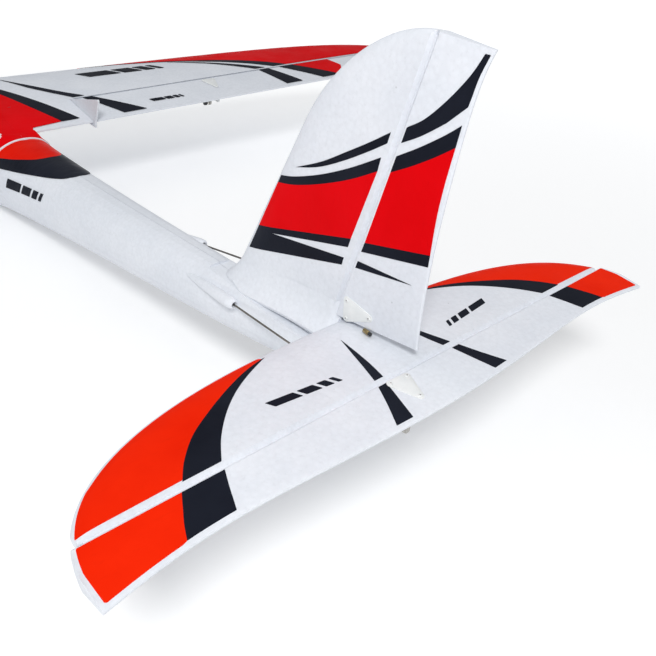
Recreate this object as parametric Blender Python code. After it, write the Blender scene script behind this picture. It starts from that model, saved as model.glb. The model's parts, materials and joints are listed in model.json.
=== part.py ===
"""Electric model sailplane: a foam airframe of 1.12 m span with a folding propeller.

Frame: +Z up, nose towards -Y, port wing towards +X. The origin is on the ground under the
balance point, in the plane of symmetry. The stabiliser plane is level and the belly rests on Z = 0.
"""

import math

import bmesh
import bpy
from mathutils import Matrix, Vector

# ---------------------------------------------------------------- driving dimensions (metres)
MM = 0.001
X = Vector((1, 0, 0))
Y = Vector((0, 1, 0))
Z = Vector((0, 0, 1))
GAP = 0.3 * MM                      # clearance between neighbours that touch

HALF_SPAN = 0.560
ROOT_CHORD = 0.1412
TAPER = 0.235                       # share of the chord lost along the straight part of the panel
TIP_POWER = 6.8                     # how late the tip curls in
INCIDENCE = math.radians(2.0)
DIHEDRAL = math.radians(1.8)
WING_REAR_Y = 0.1025                # trailing edge
WING_Z = 0.0741                     # trailing edge at the centre
WING_THICKNESS = 0.105              # of the chord
WING_CAMBER = 0.020
FOAM_EDGE = 0.8 * MM                # half of the thinnest foam edge

AILERON_CHORD = 0.043
AILERON_INNER_X = 0.0725
AILERON_OUTER_X = 0.497
AILERON_HORN_X = 0.228
FENCE_X = 0.0695

TAIL_Y = 0.570                      # rear corner of the elevator
TAIL_Z = 0.0906                     # middle plane of the stabiliser
TAIL_HALF_SPAN = 0.187
TAIL_CHORD = 0.0832                 # stabiliser and elevator together, on the centreline
TAIL_HALF_THICKNESS = 3.4 * MM
EDGE_HALF_THICKNESS = 1.0 * MM      # trailing edge of the tail surfaces
ELEVATOR_HINGE_Y = 0.5393
ELEVATOR_HORN_X = 0.0208

FIN_HINGE_FOOT = Vector((0.0, 0.4830, 0.0933))
FIN_HINGE_HEAD = Vector((0.0, 0.5184, 0.2447))
FIN_SWEEP = 0.452                   # of the leading edge, run over rise
FIN_FRONT_Y = 0.4033                # leading edge at the height of the stabiliser
FIN_TOP_Z = 0.2447
FIN_ARC_Z = 0.1875                  # where the leading edge starts to curl aft
FIN_FOOT_Z = 0.0773
TAIL_SCREWS_Y = (0.4990, 0.5150)
TAIL_SCREW_HEAD_Z = 0.0735

HINGE_GAP = 0.4 * MM
HINGE_BEVEL = 1.9 * MM

THRUST_Z = 0.040
NOSE_Y = -0.235
SPINNER_RADIUS = 0.018
PROPELLER_RADIUS = 0.115

# half width, underside and crown of the fuselage at each station: (y, half_width, bottom, top)
FUSELAGE = (
    (NOSE_Y, 0.0165, 0.0232, 0.0568),
    (-0.190, 0.0230, 0.0105, 0.0680),
    (-0.130, 0.0275, 0.0010, 0.0790),
    (-0.060, 0.0300, -0.0012, 0.0850),
    (0.000, 0.0305, -0.0012, 0.0845),
    (0.060, 0.0300, -0.0008, 0.0783),
    (0.1025, 0.0290, 0.0072, 0.0737),
    (0.160, 0.0256, 0.0150, 0.0733),
    (0.250, 0.0217, 0.0260, 0.0748),
    (0.310, 0.0195, 0.0325, 0.0765),
    (0.400, 0.0168, 0.0430, 0.0800),
    (0.470, 0.0142, 0.0530, 0.0890),
    (0.533, 0.0100, 0.0660, 0.0920),
)
SKIN = 5.5 * MM                     # foam thickness of the fuselage
CAVITY_END_Y = 0.450
ROUNDNESS = 2.3                     # superellipse exponent of the fuselage sections
STAB_SEAT_Y = 0.4880

HATCH = (-0.186, -0.047, 0.056)     # front, rear, sill height
MAGNET = Vector((0.0, HATCH[0] + GAP / 2, 0.0652))

ELEVATOR_ARM = 0.012                # horn hole below the hinge, and servo arm radius
AILERON_ARM = 0.012
RUDDER_ARM = 0.0135
WIRE_RADIUS = 0.6 * MM
ROD_OFFSET = 3.8 * MM               # wire beside the horn blade
ROD_TAIL = 8.0 * MM                 # wire that sticks out of the elevator connector
PLATE_CORNER = 2.3 * MM             # corner radius of the horn plates


# ---------------------------------------------------------------- scene and materials
def clear_scene():
    for item in list(bpy.data.objects):
        bpy.data.objects.remove(item, do_unlink=True)


MATERIALS = {
    # name: (colour, roughness, metallic)
    "white_foam": ((0.86, 0.87, 0.88), 0.55, 0.0),
    "white_nylon": ((0.78, 0.79, 0.75), 0.40, 0.0),
    "black_nylon": ((0.02, 0.02, 0.022), 0.45, 0.0),
    "steel_wire": ((0.35, 0.33, 0.31), 0.30, 1.0),
    "steel": ((0.62, 0.62, 0.63), 0.28, 1.0),
    "clear_tube": ((0.75, 0.76, 0.76), 0.25, 0.0),
    "carbon": ((0.02, 0.02, 0.022), 0.30, 0.0),
    "aluminium": ((0.80, 0.80, 0.82), 0.25, 1.0),
    "copper_stator": ((0.55, 0.26, 0.12), 0.35, 0.9),
    "motor_steel": ((0.30, 0.30, 0.32), 0.35, 1.0),
    "plywood": ((0.62, 0.45, 0.27), 0.60, 0.0),
    "servo_case": ((0.03, 0.03, 0.035), 0.35, 0.0),
    "battery_wrap": ((0.03, 0.04, 0.07), 0.30, 0.0),
    "strap": ((0.02, 0.02, 0.02), 0.90, 0.0),
    "magnet": ((0.70, 0.70, 0.72), 0.20, 1.0),
}


def material(name):
    found = bpy.data.materials.get(name)
    if found:
        return found
    colour, roughness, metallic = MATERIALS[name]
    made = bpy.data.materials.new(name)
    made.use_nodes = True
    shader = made.node_tree.nodes["Principled BSDF"]
    shader.inputs["Base Color"].default_value = (*colour, 1.0)
    shader.inputs["Roughness"].default_value = roughness
    shader.inputs["Metallic"].default_value = metallic
    return made


# ---------------------------------------------------------------- mesh helpers
def solid(name, points, faces, finish="white_foam"):
    """An object from points and faces, with its normals turned outwards."""
    mesh = bpy.data.meshes.new(name)
    mesh.from_pydata([tuple(p) for p in points], [], faces)
    shape = bmesh.new()
    shape.from_mesh(mesh)
    bmesh.ops.remove_doubles(shape, verts=shape.verts, dist=1e-6)
    bmesh.ops.recalc_face_normals(shape, faces=shape.faces)
    if shape.calc_volume(signed=True) < 0:
        bmesh.ops.reverse_faces(shape, faces=shape.faces)
    bent = [f for f in shape.faces if len(f.verts) == 4]
    bmesh.ops.triangulate(shape, faces=bent)
    shape.to_mesh(mesh)
    shape.free()
    made = bpy.data.objects.new(name, mesh)
    bpy.context.scene.collection.objects.link(made)
    mesh.materials.append(material(finish))
    return made


def loft(name, rings, finish="white_foam"):
    """A closed solid through rings that have the same number of points."""
    count = len(rings[0])
    points = [p for ring in rings for p in ring]
    faces = [tuple(range(count))]
    for r in range(len(rings) - 1):
        a, b = r * count, (r + 1) * count
        for i in range(count):
            j = (i + 1) % count
            faces.append((a + i, a + j, b + j, b + i))
    faces.append(tuple(range((len(rings) - 1) * count, len(rings) * count)))
    return solid(name, points, faces, finish)


def prism(name, outline, along, depth, finish="white_foam"):
    """An outline of points, pushed by depth along a direction."""
    push = along.normalized() * depth
    return loft(name, [outline, [p + push for p in outline]], finish)


def axes_for(direction):
    """Two unit vectors square to a direction."""
    helper = X if abs(direction.normalized().dot(X)) < 0.9 else Z
    side = direction.cross(helper).normalized()
    return side, direction.cross(side).normalized()


def circle(centre, direction, radius, count=16):
    side, up = axes_for(direction)
    turns = [2 * math.pi * i / count for i in range(count)]
    return [centre + (side * math.cos(t) + up * math.sin(t)) * radius for t in turns]


def cylinder(name, start, end, radius, finish="steel", count=16):
    direction = end - start
    rings = [circle(start, direction, radius, count), circle(end, direction, radius, count)]
    return loft(name, rings, finish)


def box(name, low, high, finish="plywood", bevel=0.0):
    """A box between two corners, with its edges bevelled."""
    shape = bmesh.new()
    bmesh.ops.create_cube(shape, size=1.0)
    size = Vector(high) - Vector(low)
    middle = (Vector(high) + Vector(low)) / 2
    bmesh.ops.scale(shape, vec=size, verts=shape.verts)
    bmesh.ops.translate(shape, vec=middle, verts=shape.verts)
    if bevel:
        bmesh.ops.bevel(shape, geom=shape.edges[:], offset=bevel, segments=1, affect="EDGES")
    mesh = bpy.data.meshes.new(name)
    shape.to_mesh(mesh)
    shape.free()
    made = bpy.data.objects.new(name, mesh)
    bpy.context.scene.collection.objects.link(made)
    mesh.materials.append(material(finish))
    return made


def revolve(name, profile, centre, finish, count=24):
    """A profile of (radius, y) points turned about the Y axis; both its ends may lie on the axis."""
    rings = []
    for i in range(count):
        turn = 2 * math.pi * i / count
        arm = X * math.cos(turn) + Z * math.sin(turn)
        rings.append([centre + arm * r + Y * y for r, y in profile])
    points = [p for ring in rings for p in ring]
    n = len(profile)
    spans = n if profile[0][0] or profile[-1][0] else n - 1
    faces = []
    for i in range(count):
        a, b = i * n, ((i + 1) % count) * n
        for k in range(spans):
            m = (k + 1) % n
            faces.append((a + k, a + m, b + m, b + k))
    return solid(name, points, faces, finish)


def sweep(name, path, radius, finish, count=10):
    """A round wire along a path of points."""
    rings = []
    side = None
    for i, here in enumerate(path):
        before = path[max(i - 1, 0)]
        after = path[min(i + 1, len(path) - 1)]
        direction = (after - before).normalized()
        if side is None:
            side, up = axes_for(direction)
        side = (side - direction * side.dot(direction)).normalized()
        up = direction.cross(side)
        turns = [2 * math.pi * k / count for k in range(count)]
        rings.append([here + (side * math.cos(t) + up * math.sin(t)) * radius for t in turns])
    return loft(name, rings, finish)


def apply_boolean(target, other, operation):
    """Cuts or joins another solid, applies the result and removes the other solid."""
    step = target.modifiers.new("boolean", "BOOLEAN")
    step.operation = operation
    step.solver = "EXACT"
    step.object = other
    bpy.context.view_layer.update()
    evaluated = target.evaluated_get(bpy.context.evaluated_depsgraph_get())
    mesh = bpy.data.meshes.new_from_object(evaluated)
    target.modifiers.clear()
    old = target.data
    target.data = mesh
    bpy.data.meshes.remove(old)
    bpy.data.objects.remove(other, do_unlink=True)
    finish = target.data.materials[0]
    target.data.materials.clear()
    target.data.materials.append(finish)
    return target


def cut(target, *cutters):
    for cutter in cutters:
        apply_boolean(target, cutter, "DIFFERENCE")
    return target


def fuse(target, *others):
    for other in others:
        apply_boolean(target, other, "UNION")
    return target


def place_origin(item, point):
    """Moves an object's origin to a point without moving its shape."""
    item.data.transform(Matrix.Translation(-Vector(point)))
    item.location = point


def shade(item, angle=35):
    item.data.shade_smooth()
    item.data.set_sharp_from_angle(angle=math.radians(angle))


def blend(stations, y):
    """Smooth values between stations: cubic between neighbours, with slopes from both sides."""
    last = len(stations) - 1
    y = min(max(y, stations[0][0]), stations[last][0])
    k = max(i for i in range(last) if stations[i][0] <= y)
    low, high = stations[k], stations[k + 1]
    width = high[0] - low[0]
    t = (y - low[0]) / width

    def slope(i, column):
        a, b = stations[max(i - 1, 0)], stations[min(i + 1, last)]
        return (b[column] - a[column]) / (b[0] - a[0])

    values = []
    for column in range(1, len(low)):
        p, q = low[column], high[column]
        m, n = slope(k, column) * width, slope(k + 1, column) * width
        value = (2 * t**3 - 3 * t**2 + 1) * p + (t**3 - 2 * t**2 + t) * m
        value += (3 * t**2 - 2 * t**3) * q + (t**3 - t**2) * n
        values.append(value)
    return values


# ---------------------------------------------------------------- wing
def wing_chord(x):
    share = min(abs(x) / HALF_SPAN, 1.0)
    return ROOT_CHORD * (1 - TAPER * share) * math.sqrt(max(1 - share**TIP_POWER, 0.0))


def wing_height(x):
    """Height of the trailing edge."""
    return WING_Z + abs(x) * math.tan(DIHEDRAL)


def aerofoil(x, y):
    """Upper and lower surface heights of the wing at a point of its plan."""
    chord = wing_chord(x)
    u = min(max((y - (WING_REAR_Y - chord)) / chord, 0.0), 1.0)
    shape = 0.2969 * math.sqrt(u) - 0.1260 * u - 0.3516 * u**2 + 0.2843 * u**3 - 0.1015 * u**4
    half = 5 * WING_THICKNESS * shape * chord + FOAM_EDGE * u * 0.75
    middle = wing_height(x) + (WING_REAR_Y - y) * math.tan(INCIDENCE) + 4 * WING_CAMBER * u * (1 - u) * chord
    return middle + half, middle - half


def wing_ring(x, rear_y=WING_REAR_Y, grow=0.0, count=14):
    """One closed section of the wing, from the rear over the top to the nose and back."""
    front_y = WING_REAR_Y - wing_chord(x)
    ring = []
    for i in range(count + 1):
        share = (1 + math.cos(math.pi * i / count)) / 2
        y = front_y + (rear_y - front_y) * share
        ring.append(Vector((x, y, aerofoil(x, y)[0] + grow)))
    for i in range(1, count + 1):
        share = (1 - math.cos(math.pi * i / count)) / 2
        y = front_y + (rear_y - front_y) * share
        ring.append(Vector((x, y, aerofoil(x, y)[1] - grow)))
    return ring


def aileron_hinge(side):
    """Inner end, outer end of the aileron's hinge line."""
    y = WING_REAR_Y - AILERON_CHORD
    ends = []
    for x in (AILERON_INNER_X, AILERON_OUTER_X):
        ends.append(Vector((side * x, y, sum(aerofoil(x, y)) / 2)))
    return ends


def hinge_axis_height(x):
    inner, outer = aileron_hinge(1)
    return inner.z + (outer.z - inner.z) * (abs(x) - inner.x) / (outer.x - inner.x)


def wing_stations():
    """Spanwise stations, closer together towards the tip."""
    shares = [i / 9 for i in range(10)] + [0.94, 0.97, 0.99, 0.998]
    straight = [0.9 * s for s in shares[:10]]
    return [max(GAP / 2, HALF_SPAN * s) for s in straight + shares[10:]]


def servo_bay(side):
    """Low and high corners of the pocket for an aileron servo and its arm, in the wing's underside."""
    rear_y = WING_REAR_Y - AILERON_CHORD - 0.0115
    roof = aerofoil(AILERON_HORN_X - 0.0250, rear_y)[0] - 1.4 * MM
    xs = sorted((side * (AILERON_HORN_X - 0.0250), side * (AILERON_HORN_X + 0.0030)))
    return Vector((xs[0], rear_y - 0.0230, roof - 0.0200)), Vector((xs[1], rear_y, roof))


def joiner_path(half_length):
    """The wing joiner tube's middle line, bent to the dihedral at the centre."""
    y = 0.0200
    z = sum(aerofoil(0, y)) / 2
    rise = half_length * math.tan(DIHEDRAL)
    ends = [Vector((-half_length, y, z + rise)), Vector((half_length, y, z + rise))]
    return [ends[0], Vector((0, y, z)), ends[1]]


def ring_tube(name, path, outer, inner, finish, count=16):
    """A tube along a path, open at both ends."""
    rings = []
    for radius, route in ((outer, path), (inner, path[::-1])):
        for i, here in enumerate(route):
            before, after = route[max(i - 1, 0)], route[min(i + 1, len(route) - 1)]
            direction = (after - before).normalized()
            if radius == inner:
                direction = -direction
            rings.append(circle(here, direction, radius, count))
    points = [p for ring in rings for p in ring]
    faces = []
    for r in range(len(rings)):
        a, b = r * count, ((r + 1) % len(rings)) * count
        for i in range(count):
            j = (i + 1) % count
            faces.append((a + i, a + j, b + j, b + i))
    return solid(name, points, faces, finish)


def wing_bolt_spot(side):
    return Vector((side * 0.0135, 0.0550, 0.0))


def build_wing_panel(side, name):
    rings = []
    for x in wing_stations():
        rings.append([Vector((side * p.x, p.y, p.z)) for p in wing_ring(x)])
    panel = loft(name, rings)
    inner, outer = aileron_hinge(side)
    xs = sorted((side * (AILERON_INNER_X - HINGE_GAP), side * (AILERON_OUTER_X + HINGE_GAP)))
    cut(panel, box("aileron_bay", (xs[0], inner.y - HINGE_GAP, 0.04), (xs[1], 0.12, 0.13)))
    low, high = servo_bay(side)
    cut(panel, box("bay", low, high))
    path = joiner_path(0.1615)
    cut(panel, sweep("joiner_hole", path, 3.3 * MM, "carbon", 16))
    spot = wing_bolt_spot(side)
    cut(panel, cylinder("bolt_hole", spot + Z * 0.05, spot + Z * 0.09, 2.3 * MM))
    head = aerofoil(spot.x, spot.y)[0] - 1.6 * MM
    cut(panel, cylinder("bolt_recess", spot + Z * head, spot + Z * 0.09, 4.6 * MM))
    cut(panel, fence_shape("fence_slot", side, GAP))
    shade(panel)
    return panel


def build_aileron(side, name):
    y_hinge = WING_REAR_Y - AILERON_CHORD
    bevel_y = y_hinge + HINGE_GAP + HINGE_BEVEL + 0.4 * MM
    rings = []
    steps = 9
    inner_x = AILERON_INNER_X + HINGE_GAP
    outer_x = AILERON_OUTER_X - HINGE_GAP
    for i in range(steps + 1):
        x = inner_x + (outer_x - inner_x) * i / steps
        ring = []
        for k in range(6):
            y = WING_REAR_Y - (WING_REAR_Y - bevel_y) * k / 5
            ring.append(Vector((side * x, y, aerofoil(x, y)[0])))
        ring.append(Vector((side * x, y_hinge + HINGE_GAP, hinge_axis_height(x))))
        for k in range(6):
            y = bevel_y + (WING_REAR_Y - bevel_y) * k / 5
            ring.append(Vector((side * x, y, aerofoil(x, y)[1])))
        rings.append(ring)
    aileron = loft(name, rings)
    shade(aileron)
    place_origin(aileron, aileron_hinge(side)[0])
    return aileron


def fence_shape(name, side, grow=0.0):
    """The upright plate at the aileron's inner end: a triangle above the wing and a small one below."""
    front_y = WING_REAR_Y - 0.0410
    surface = aerofoil(FENCE_X, front_y)[0]
    base = wing_height(FENCE_X)
    outline = [
        (front_y, surface - 1.0 * MM),
        (front_y, surface + 0.6 * MM),
        (WING_REAR_Y + 8.8 * MM, base + 21.9 * MM),
        (WING_REAR_Y + 9.8 * MM, base + 20.5 * MM),
        (WING_REAR_Y + 3.2 * MM, base + 1.0 * MM),
        (WING_REAR_Y + 2.6 * MM, base - 4.8 * MM),
        (WING_REAR_Y - 13.2 * MM, base - 3.2 * MM),
    ]
    if grow:
        middle = Vector((sum(p[0] for p in outline) / 7, sum(p[1] for p in outline) / 7))
        outline = [tuple(middle + (Vector(p) - middle) * (1 + grow / 0.008)) for p in outline]
    half = 0.9 * MM + grow
    x = side * FENCE_X
    return prism(name, [Vector((x - half, y, z)) for y, z in outline], X, 2 * half)


def build_fence(side, name):
    fence = fence_shape(name, side)
    shade(fence)
    return fence


# ---------------------------------------------------------------- tail
def tail_front_y(x):
    """Leading edge of the tailplane, a superellipse."""
    share = min(abs(x) / (TAIL_HALF_SPAN + 1 * MM), 1.0)
    return TAIL_Y - TAIL_CHORD * (1 - share**2.9) ** 0.38


def tail_rear_y(x):
    """Trailing edge of the tailplane, gently hollow so that the tips end in points."""
    share = min(abs(x) / TAIL_HALF_SPAN, 1.0)
    return TAIL_Y - 2.5 * MM - 5.6 * MM * math.sin(math.pi * share**1.9)


def plate_half(y, front, nose=0.016):
    """Half thickness of a tail surface behind a rounded leading edge."""
    share = min(max((y - front) / nose, 0.0), 1.0)
    return TAIL_HALF_THICKNESS * math.sqrt(max(1 - (1 - share) ** 2, 0.0))


def plate_ring(place, front, rear, count=8):
    """A section of a fixed tail surface; place(y, offset) gives a point beside the middle plane."""
    upper = []
    for i in range(count + 1):
        share = (1 - math.cos(math.pi / 2 * i / count)) if i < count else 1.0
        y = front + (rear - front) * share
        upper.append((y, max(plate_half(y, front), 0.02 * MM)))
    return [place(y, h) for y, h in upper] + [place(y, -h) for y, h in reversed(upper)]


def flap_ring(place, hinge, rear):
    """A section of a moving tail surface, with a bevelled nose on the hinge line."""
    front = hinge + HINGE_GAP
    bevel = min(HINGE_BEVEL, (rear - front) / 3)

    def half(y):
        share = min(max((y - front) / max(rear - front, 1e-6), 0.0), 1.0)
        return TAIL_HALF_THICKNESS + (EDGE_HALF_THICKNESS - TAIL_HALF_THICKNESS) * share

    ys = [front + bevel, front + (rear - front) * 0.5, rear]
    ring = [place(front, 0.0)]
    ring += [place(y, half(y)) for y in ys]
    ring += [place(y, -half(y)) for y in reversed(ys)]
    return ring


def build_stabilizer():
    """The fixed tailplane, in one piece across the fuselage."""
    tip = 0.1802
    rings = []
    for i in range(-12, 13):
        x = tip * math.sin(math.pi / 2 * i / 12)
        front = tail_front_y(x)
        rear = ELEVATOR_HINGE_Y - HINGE_GAP
        rings.append(plate_ring(lambda y, h, x=x: Vector((x, y, TAIL_Z + h)), front, rear))
    plate = loft("stabilizer", rings)
    for y in TAIL_SCREWS_Y:
        spot = Vector((0, y, 0))
        cut(plate, cylinder("hole", spot + Z * 0.08, spot + Z * (TAIL_Z + 1.4 * MM), 1.5 * MM))
    shade(plate)
    return plate


def build_elevator():
    rings = []
    for i in range(-12, 13):
        x = (TAIL_HALF_SPAN - 0.2 * MM) * math.sin(math.pi / 2 * i / 12)
        hinge = max(ELEVATOR_HINGE_Y, tail_front_y(x) - HINGE_GAP)
        rings.append(flap_ring(lambda y, h, x=x: Vector((x, y, TAIL_Z + h)), hinge, tail_rear_y(x)))
    flap = loft("elevator", rings)
    shade(flap)
    place_origin(flap, (0, ELEVATOR_HINGE_Y, TAIL_Z))
    return flap


def fin_hinge_y(z):
    rise = (z - FIN_HINGE_FOOT.z) / (FIN_HINGE_HEAD.z - FIN_HINGE_FOOT.z)
    return FIN_HINGE_FOOT.y + (FIN_HINGE_HEAD.y - FIN_HINGE_FOOT.y) * rise


def fin_front_y(z):
    """Leading edge of the fin: straight and swept, then an elliptic curl into the tip."""
    straight = FIN_FRONT_Y + FIN_SWEEP * (z - 0.094)
    if z <= FIN_ARC_Z:
        return straight
    share = min((z - FIN_ARC_Z) / (FIN_TOP_Z - FIN_ARC_Z), 1.0)
    reach = fin_hinge_y(FIN_TOP_Z) - FIN_FRONT_Y - FIN_SWEEP * (FIN_TOP_Z - 0.094)
    return straight + reach * (1 - math.sqrt(1 - share**2))


def build_fin():
    """The fin, with the fairing at its foot that straddles the fuselage crown."""
    rings = []
    top_share = 0.992
    heights = [FIN_FOOT_Z, 0.0805, 0.0850, 0.0905, 0.0960, 0.1300, 0.1600, FIN_ARC_Z]
    for i in range(1, 9):
        share = math.sin(math.pi / 2 * i / 8) * top_share
        heights.append(FIN_ARC_Z + (FIN_TOP_Z - FIN_ARC_Z) * share)
    for z in heights:
        front = fin_front_y(z)
        flare = max(0.0, (0.0960 - z) / (0.0960 - FIN_FOOT_Z))
        wide = 1 + 1.3 * flare**2
        rear = fin_hinge_y(z) - HINGE_GAP
        nose = front - 6 * MM * flare**2
        rings.append(plate_ring(lambda y, h, z=z, w=wide: Vector((h * w, y, z)), nose, rear))
    fin = loft("vertical_fin", rings)
    top = TAIL_Z + TAIL_HALF_THICKNESS + GAP
    cut(fin, box("stab_room", (-0.02, STAB_SEAT_Y, FIN_FOOT_Z - 0.01), (0.02, 0.60, top)))
    shade(fin)
    return fin


def rudder_rear_y(share):
    """Trailing edge of the rudder from foot (0) to head (1), hollow and running out to a corner."""
    hollow = 3.4 * MM * math.sin(math.pi * share**0.75)
    return 0.5380 - hollow + 4.2 * MM * share + 4.0 * MM * share**12


def build_rudder():
    foot_hinge_z, foot_rear_z = 0.0950, 0.1030
    rings = []
    for i in range(13):
        share = i / 12
        hinge_z = foot_hinge_z + (FIN_TOP_Z - foot_hinge_z) * share
        rear_z = foot_rear_z + (FIN_TOP_Z - 1.5 * MM - foot_rear_z) * share
        hinge = fin_hinge_y(hinge_z)
        rear = rudder_rear_y(share)
        slope = (rear_z - hinge_z) / (rear - hinge)
        rings.append(
            flap_ring(lambda y, h, g=hinge, z=hinge_z, s=slope: Vector((h, y, z + s * (y - g))), hinge, rear)
        )
    rudder = loft("rudder", rings)
    shade(rudder)
    place_origin(rudder, FIN_HINGE_FOOT)
    return rudder


# ---------------------------------------------------------------- fuselage
def fuselage_half_ring(y, inset=0.0, count=12):
    """Port half of a fuselage section, from the keel up to the crown."""
    half_width, bottom, top = blend(FUSELAGE, y)
    half_width -= inset
    bottom = max(bottom, 0.0 if inset else bottom) + inset
    top -= inset
    middle, half_height = (bottom + top) / 2, (top - bottom) / 2
    ring = []
    for i in range(count + 1):
        turn = -math.pi / 2 + math.pi * i / count
        c, s = max(math.cos(turn), 0.0), math.sin(turn)
        x = half_width * c ** (2 / ROUNDNESS)
        z = middle + half_height * math.copysign(abs(s) ** (2 / ROUNDNESS), s)
        ring.append(Vector((x, y, max(z, 0.0))))
    return ring


def full_ring(y, inset=0.0):
    half = fuselage_half_ring(y, inset)
    other = [Vector((-p.x, p.y, p.z)) for p in half[-2:0:-1]]
    return half + other


def fuselage_stations(start, end, count):
    return [start + (end - start) * i / count for i in range(count + 1)]


def cavity(name, inset=SKIN):
    """The hollow of the fuselage, open at the nose; it dips to leave foam under the wing."""
    rings = [[Vector((p.x, NOSE_Y - 0.01, p.z)) for p in full_ring(NOSE_Y, 4.2 * MM)]]
    rings.append(full_ring(NOSE_Y, 4.2 * MM))
    for y in fuselage_stations(-0.205, CAVITY_END_Y, 20):
        ring = full_ring(y, inset)
        ceiling = 0.0645
        if -0.050 < y < 0.115:
            ring = [Vector((p.x, p.y, min(p.z, ceiling))) for p in ring]
        rings.append(ring)
    return loft(name, rings)


def saddle(name):
    """The room that the wing's centre takes out of the fuselage top."""
    rings = []
    for x in (-0.045, 0.0, 0.045):
        ring = wing_ring(x, WING_REAR_Y, GAP)
        front_y = WING_REAR_Y - wing_chord(x)
        lower = ring[15:]
        nose = Vector((x, front_y - GAP, aerofoil(x, front_y)[0]))
        rise_y = front_y + 0.0085
        roof = [
            Vector((x, WING_REAR_Y + GAP, lower[-1].z)),
            Vector((x, WING_REAR_Y + GAP, 0.12)),
            Vector((x, rise_y, 0.12)),
            Vector((x, rise_y, aerofoil(x, rise_y)[0] + GAP)),
            Vector((x, front_y + 0.002, aerofoil(x, front_y + 0.002)[0] + GAP)),
        ]
        rings.append([nose] + lower + roof)
    return loft(name, rings)


def hatch_zone(name, grow):
    front, rear, sill = HATCH
    return box(name, (-0.05, front - grow, sill - grow), (0.05, rear + grow, 0.12))


def rod_line(kind):
    """End of a tail pushrod at its horn, and its direction pointing aft."""
    if kind == "elevator":
        end = Vector((ELEVATOR_HORN_X + ROD_OFFSET, ELEVATOR_HINGE_Y, TAIL_Z - ELEVATOR_ARM))
        return end, Vector((0.054, 1.0, 0.053)).normalized()
    hole = rudder_horn_hole()
    return hole - rudder_axis() * ROD_OFFSET, Vector((-0.016, 1.0, 0.180)).normalized()


def point_at_y(kind, y):
    end, direction = rod_line(kind)
    return end + direction * ((y - end.y) / direction.y)


def rod_route(kind):
    """Bends of a tail pushrod inside the fuselage, from the cabin to its exit."""
    if kind == "elevator":
        bends = ((0.0062, 0.215, 0.0590), (0.0082, 0.290, 0.0628), (0.0118, 0.350, 0.0672))
        return [Vector(bend) for bend in bends] + [point_at_y(kind, 0.402)]
    return [Vector((-0.0078, 0.215, 0.0520)), point_at_y(kind, 0.290), point_at_y(kind, 0.342)]


def rod_exit(kind, y):
    """The moulded blister where a pushrod leaves the fuselage."""
    middle = point_at_y(kind, y)
    direction = rod_line(kind)[1]
    shares = ((-14, 0.7), (-9, 2.5), (-3, 3.3), (1.5, 3.1), (3.5, 2.3))
    return loft("blister", [circle(middle + direction * a * MM, direction, r * MM, 11) for a, r in shares])


def build_fuselage_half(side, name):
    rings = []
    stations = fuselage_stations(NOSE_Y, FUSELAGE[-1][0], 30)
    for y in stations:
        half = fuselage_half_ring(y)
        wall = [Vector((GAP / 2, p.y, p.z)) for p in half]
        ring = []
        for p in half:
            ring.append(Vector((max(p.x, GAP / 2), p.y, p.z)))
        ring[0] = wall[0]
        ring[-1] = wall[-1]
        rings.append([Vector((side * p.x, p.y, p.z)) for p in ring])
    shell = loft(name, rings)
    kind, exit_y = ("elevator", 0.4150) if side > 0 else ("rudder", 0.345)
    fuse(shell, rod_exit(kind, exit_y))
    cut(shell, cavity("cavity"), saddle("saddle"), hatch_zone("hatch_zone", 0.0), magnet_pocket(-1))
    cut(shell, box("fin_seat", (-0.03, 0.380, FIN_FOOT_Z - GAP), (0.03, STAB_SEAT_Y - GAP, 0.12)))
    seat = TAIL_Z - TAIL_HALF_THICKNESS - GAP
    cut(shell, box("stab_seat", (-0.03, STAB_SEAT_Y - 0.002, seat), (0.03, 0.60, 0.12)))
    route = rod_route(kind)
    route.append(route[-1] + rod_line(kind)[1] * 30 * MM)
    cut(shell, sweep("rod_channel", route, 1.9 * MM, "white_foam", 12))
    for y in TAIL_SCREWS_Y:
        spot = Vector((0, y, 0))
        cut(shell, cylinder("hole", spot + Z * 0.04, spot + Z * 0.10, 1.5 * MM))
        head_top = spot + Z * (TAIL_SCREW_HEAD_Z + 0.4 * MM)
        cut(shell, cylinder("head_room", spot + Z * 0.04, head_top, 3.0 * MM))
    spot = wing_bolt_spot(side)
    cut(shell, cylinder("bolt_hole", spot + Z * 0.05, spot + Z * 0.09, 2.3 * MM))
    shade(shell)
    return shell


def magnet_pocket(side):
    return cylinder("pocket", MAGNET - Y * side * 1.0 * MM, MAGNET + Y * side * 3.4 * MM, 2.5 * MM)


def build_hatch():
    """The canopy, a foam shell that lifts off the nose."""
    front, rear, sill = HATCH
    rings = [full_ring(y) for y in fuselage_stations(front + GAP, rear - GAP, 9)]
    hatch = loft("canopy_hatch", rings)
    cut(hatch, box("below", (-0.06, front - 0.02, -0.02), (0.06, rear + 0.02, sill + GAP)))
    inner = [full_ring(y, SKIN) for y in fuselage_stations(front + 6 * MM, rear - 6 * MM, 7)]
    cut(hatch, loft("hollow", inner), magnet_pocket(1))
    shade(hatch)
    return hatch


# ---------------------------------------------------------------- power train
MOTOR_BACK_Y = -0.2020


def build_motor_mount():
    centre = Vector((0, 0, THRUST_Z))
    y = MOTOR_BACK_Y
    mount = cylinder("motor_mount", centre + Y * (y + 3 * MM), centre + Y * y, 12.6 * MM, "plywood", 24)
    ahead, behind = Y * (y - 2 * MM), Y * (y + 5 * MM)
    cut(mount, cylinder("hole", centre + behind, centre + ahead, 4.0 * MM, "plywood", 16))
    for turn in range(4):
        angle = math.radians(45 + 90 * turn)
        spot = centre + (X * math.cos(angle) + Z * math.sin(angle)) * 8 * MM
        cut(mount, cylinder("screw_hole", spot + behind, spot + ahead, 1.2 * MM, count=8))
    return mount


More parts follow.
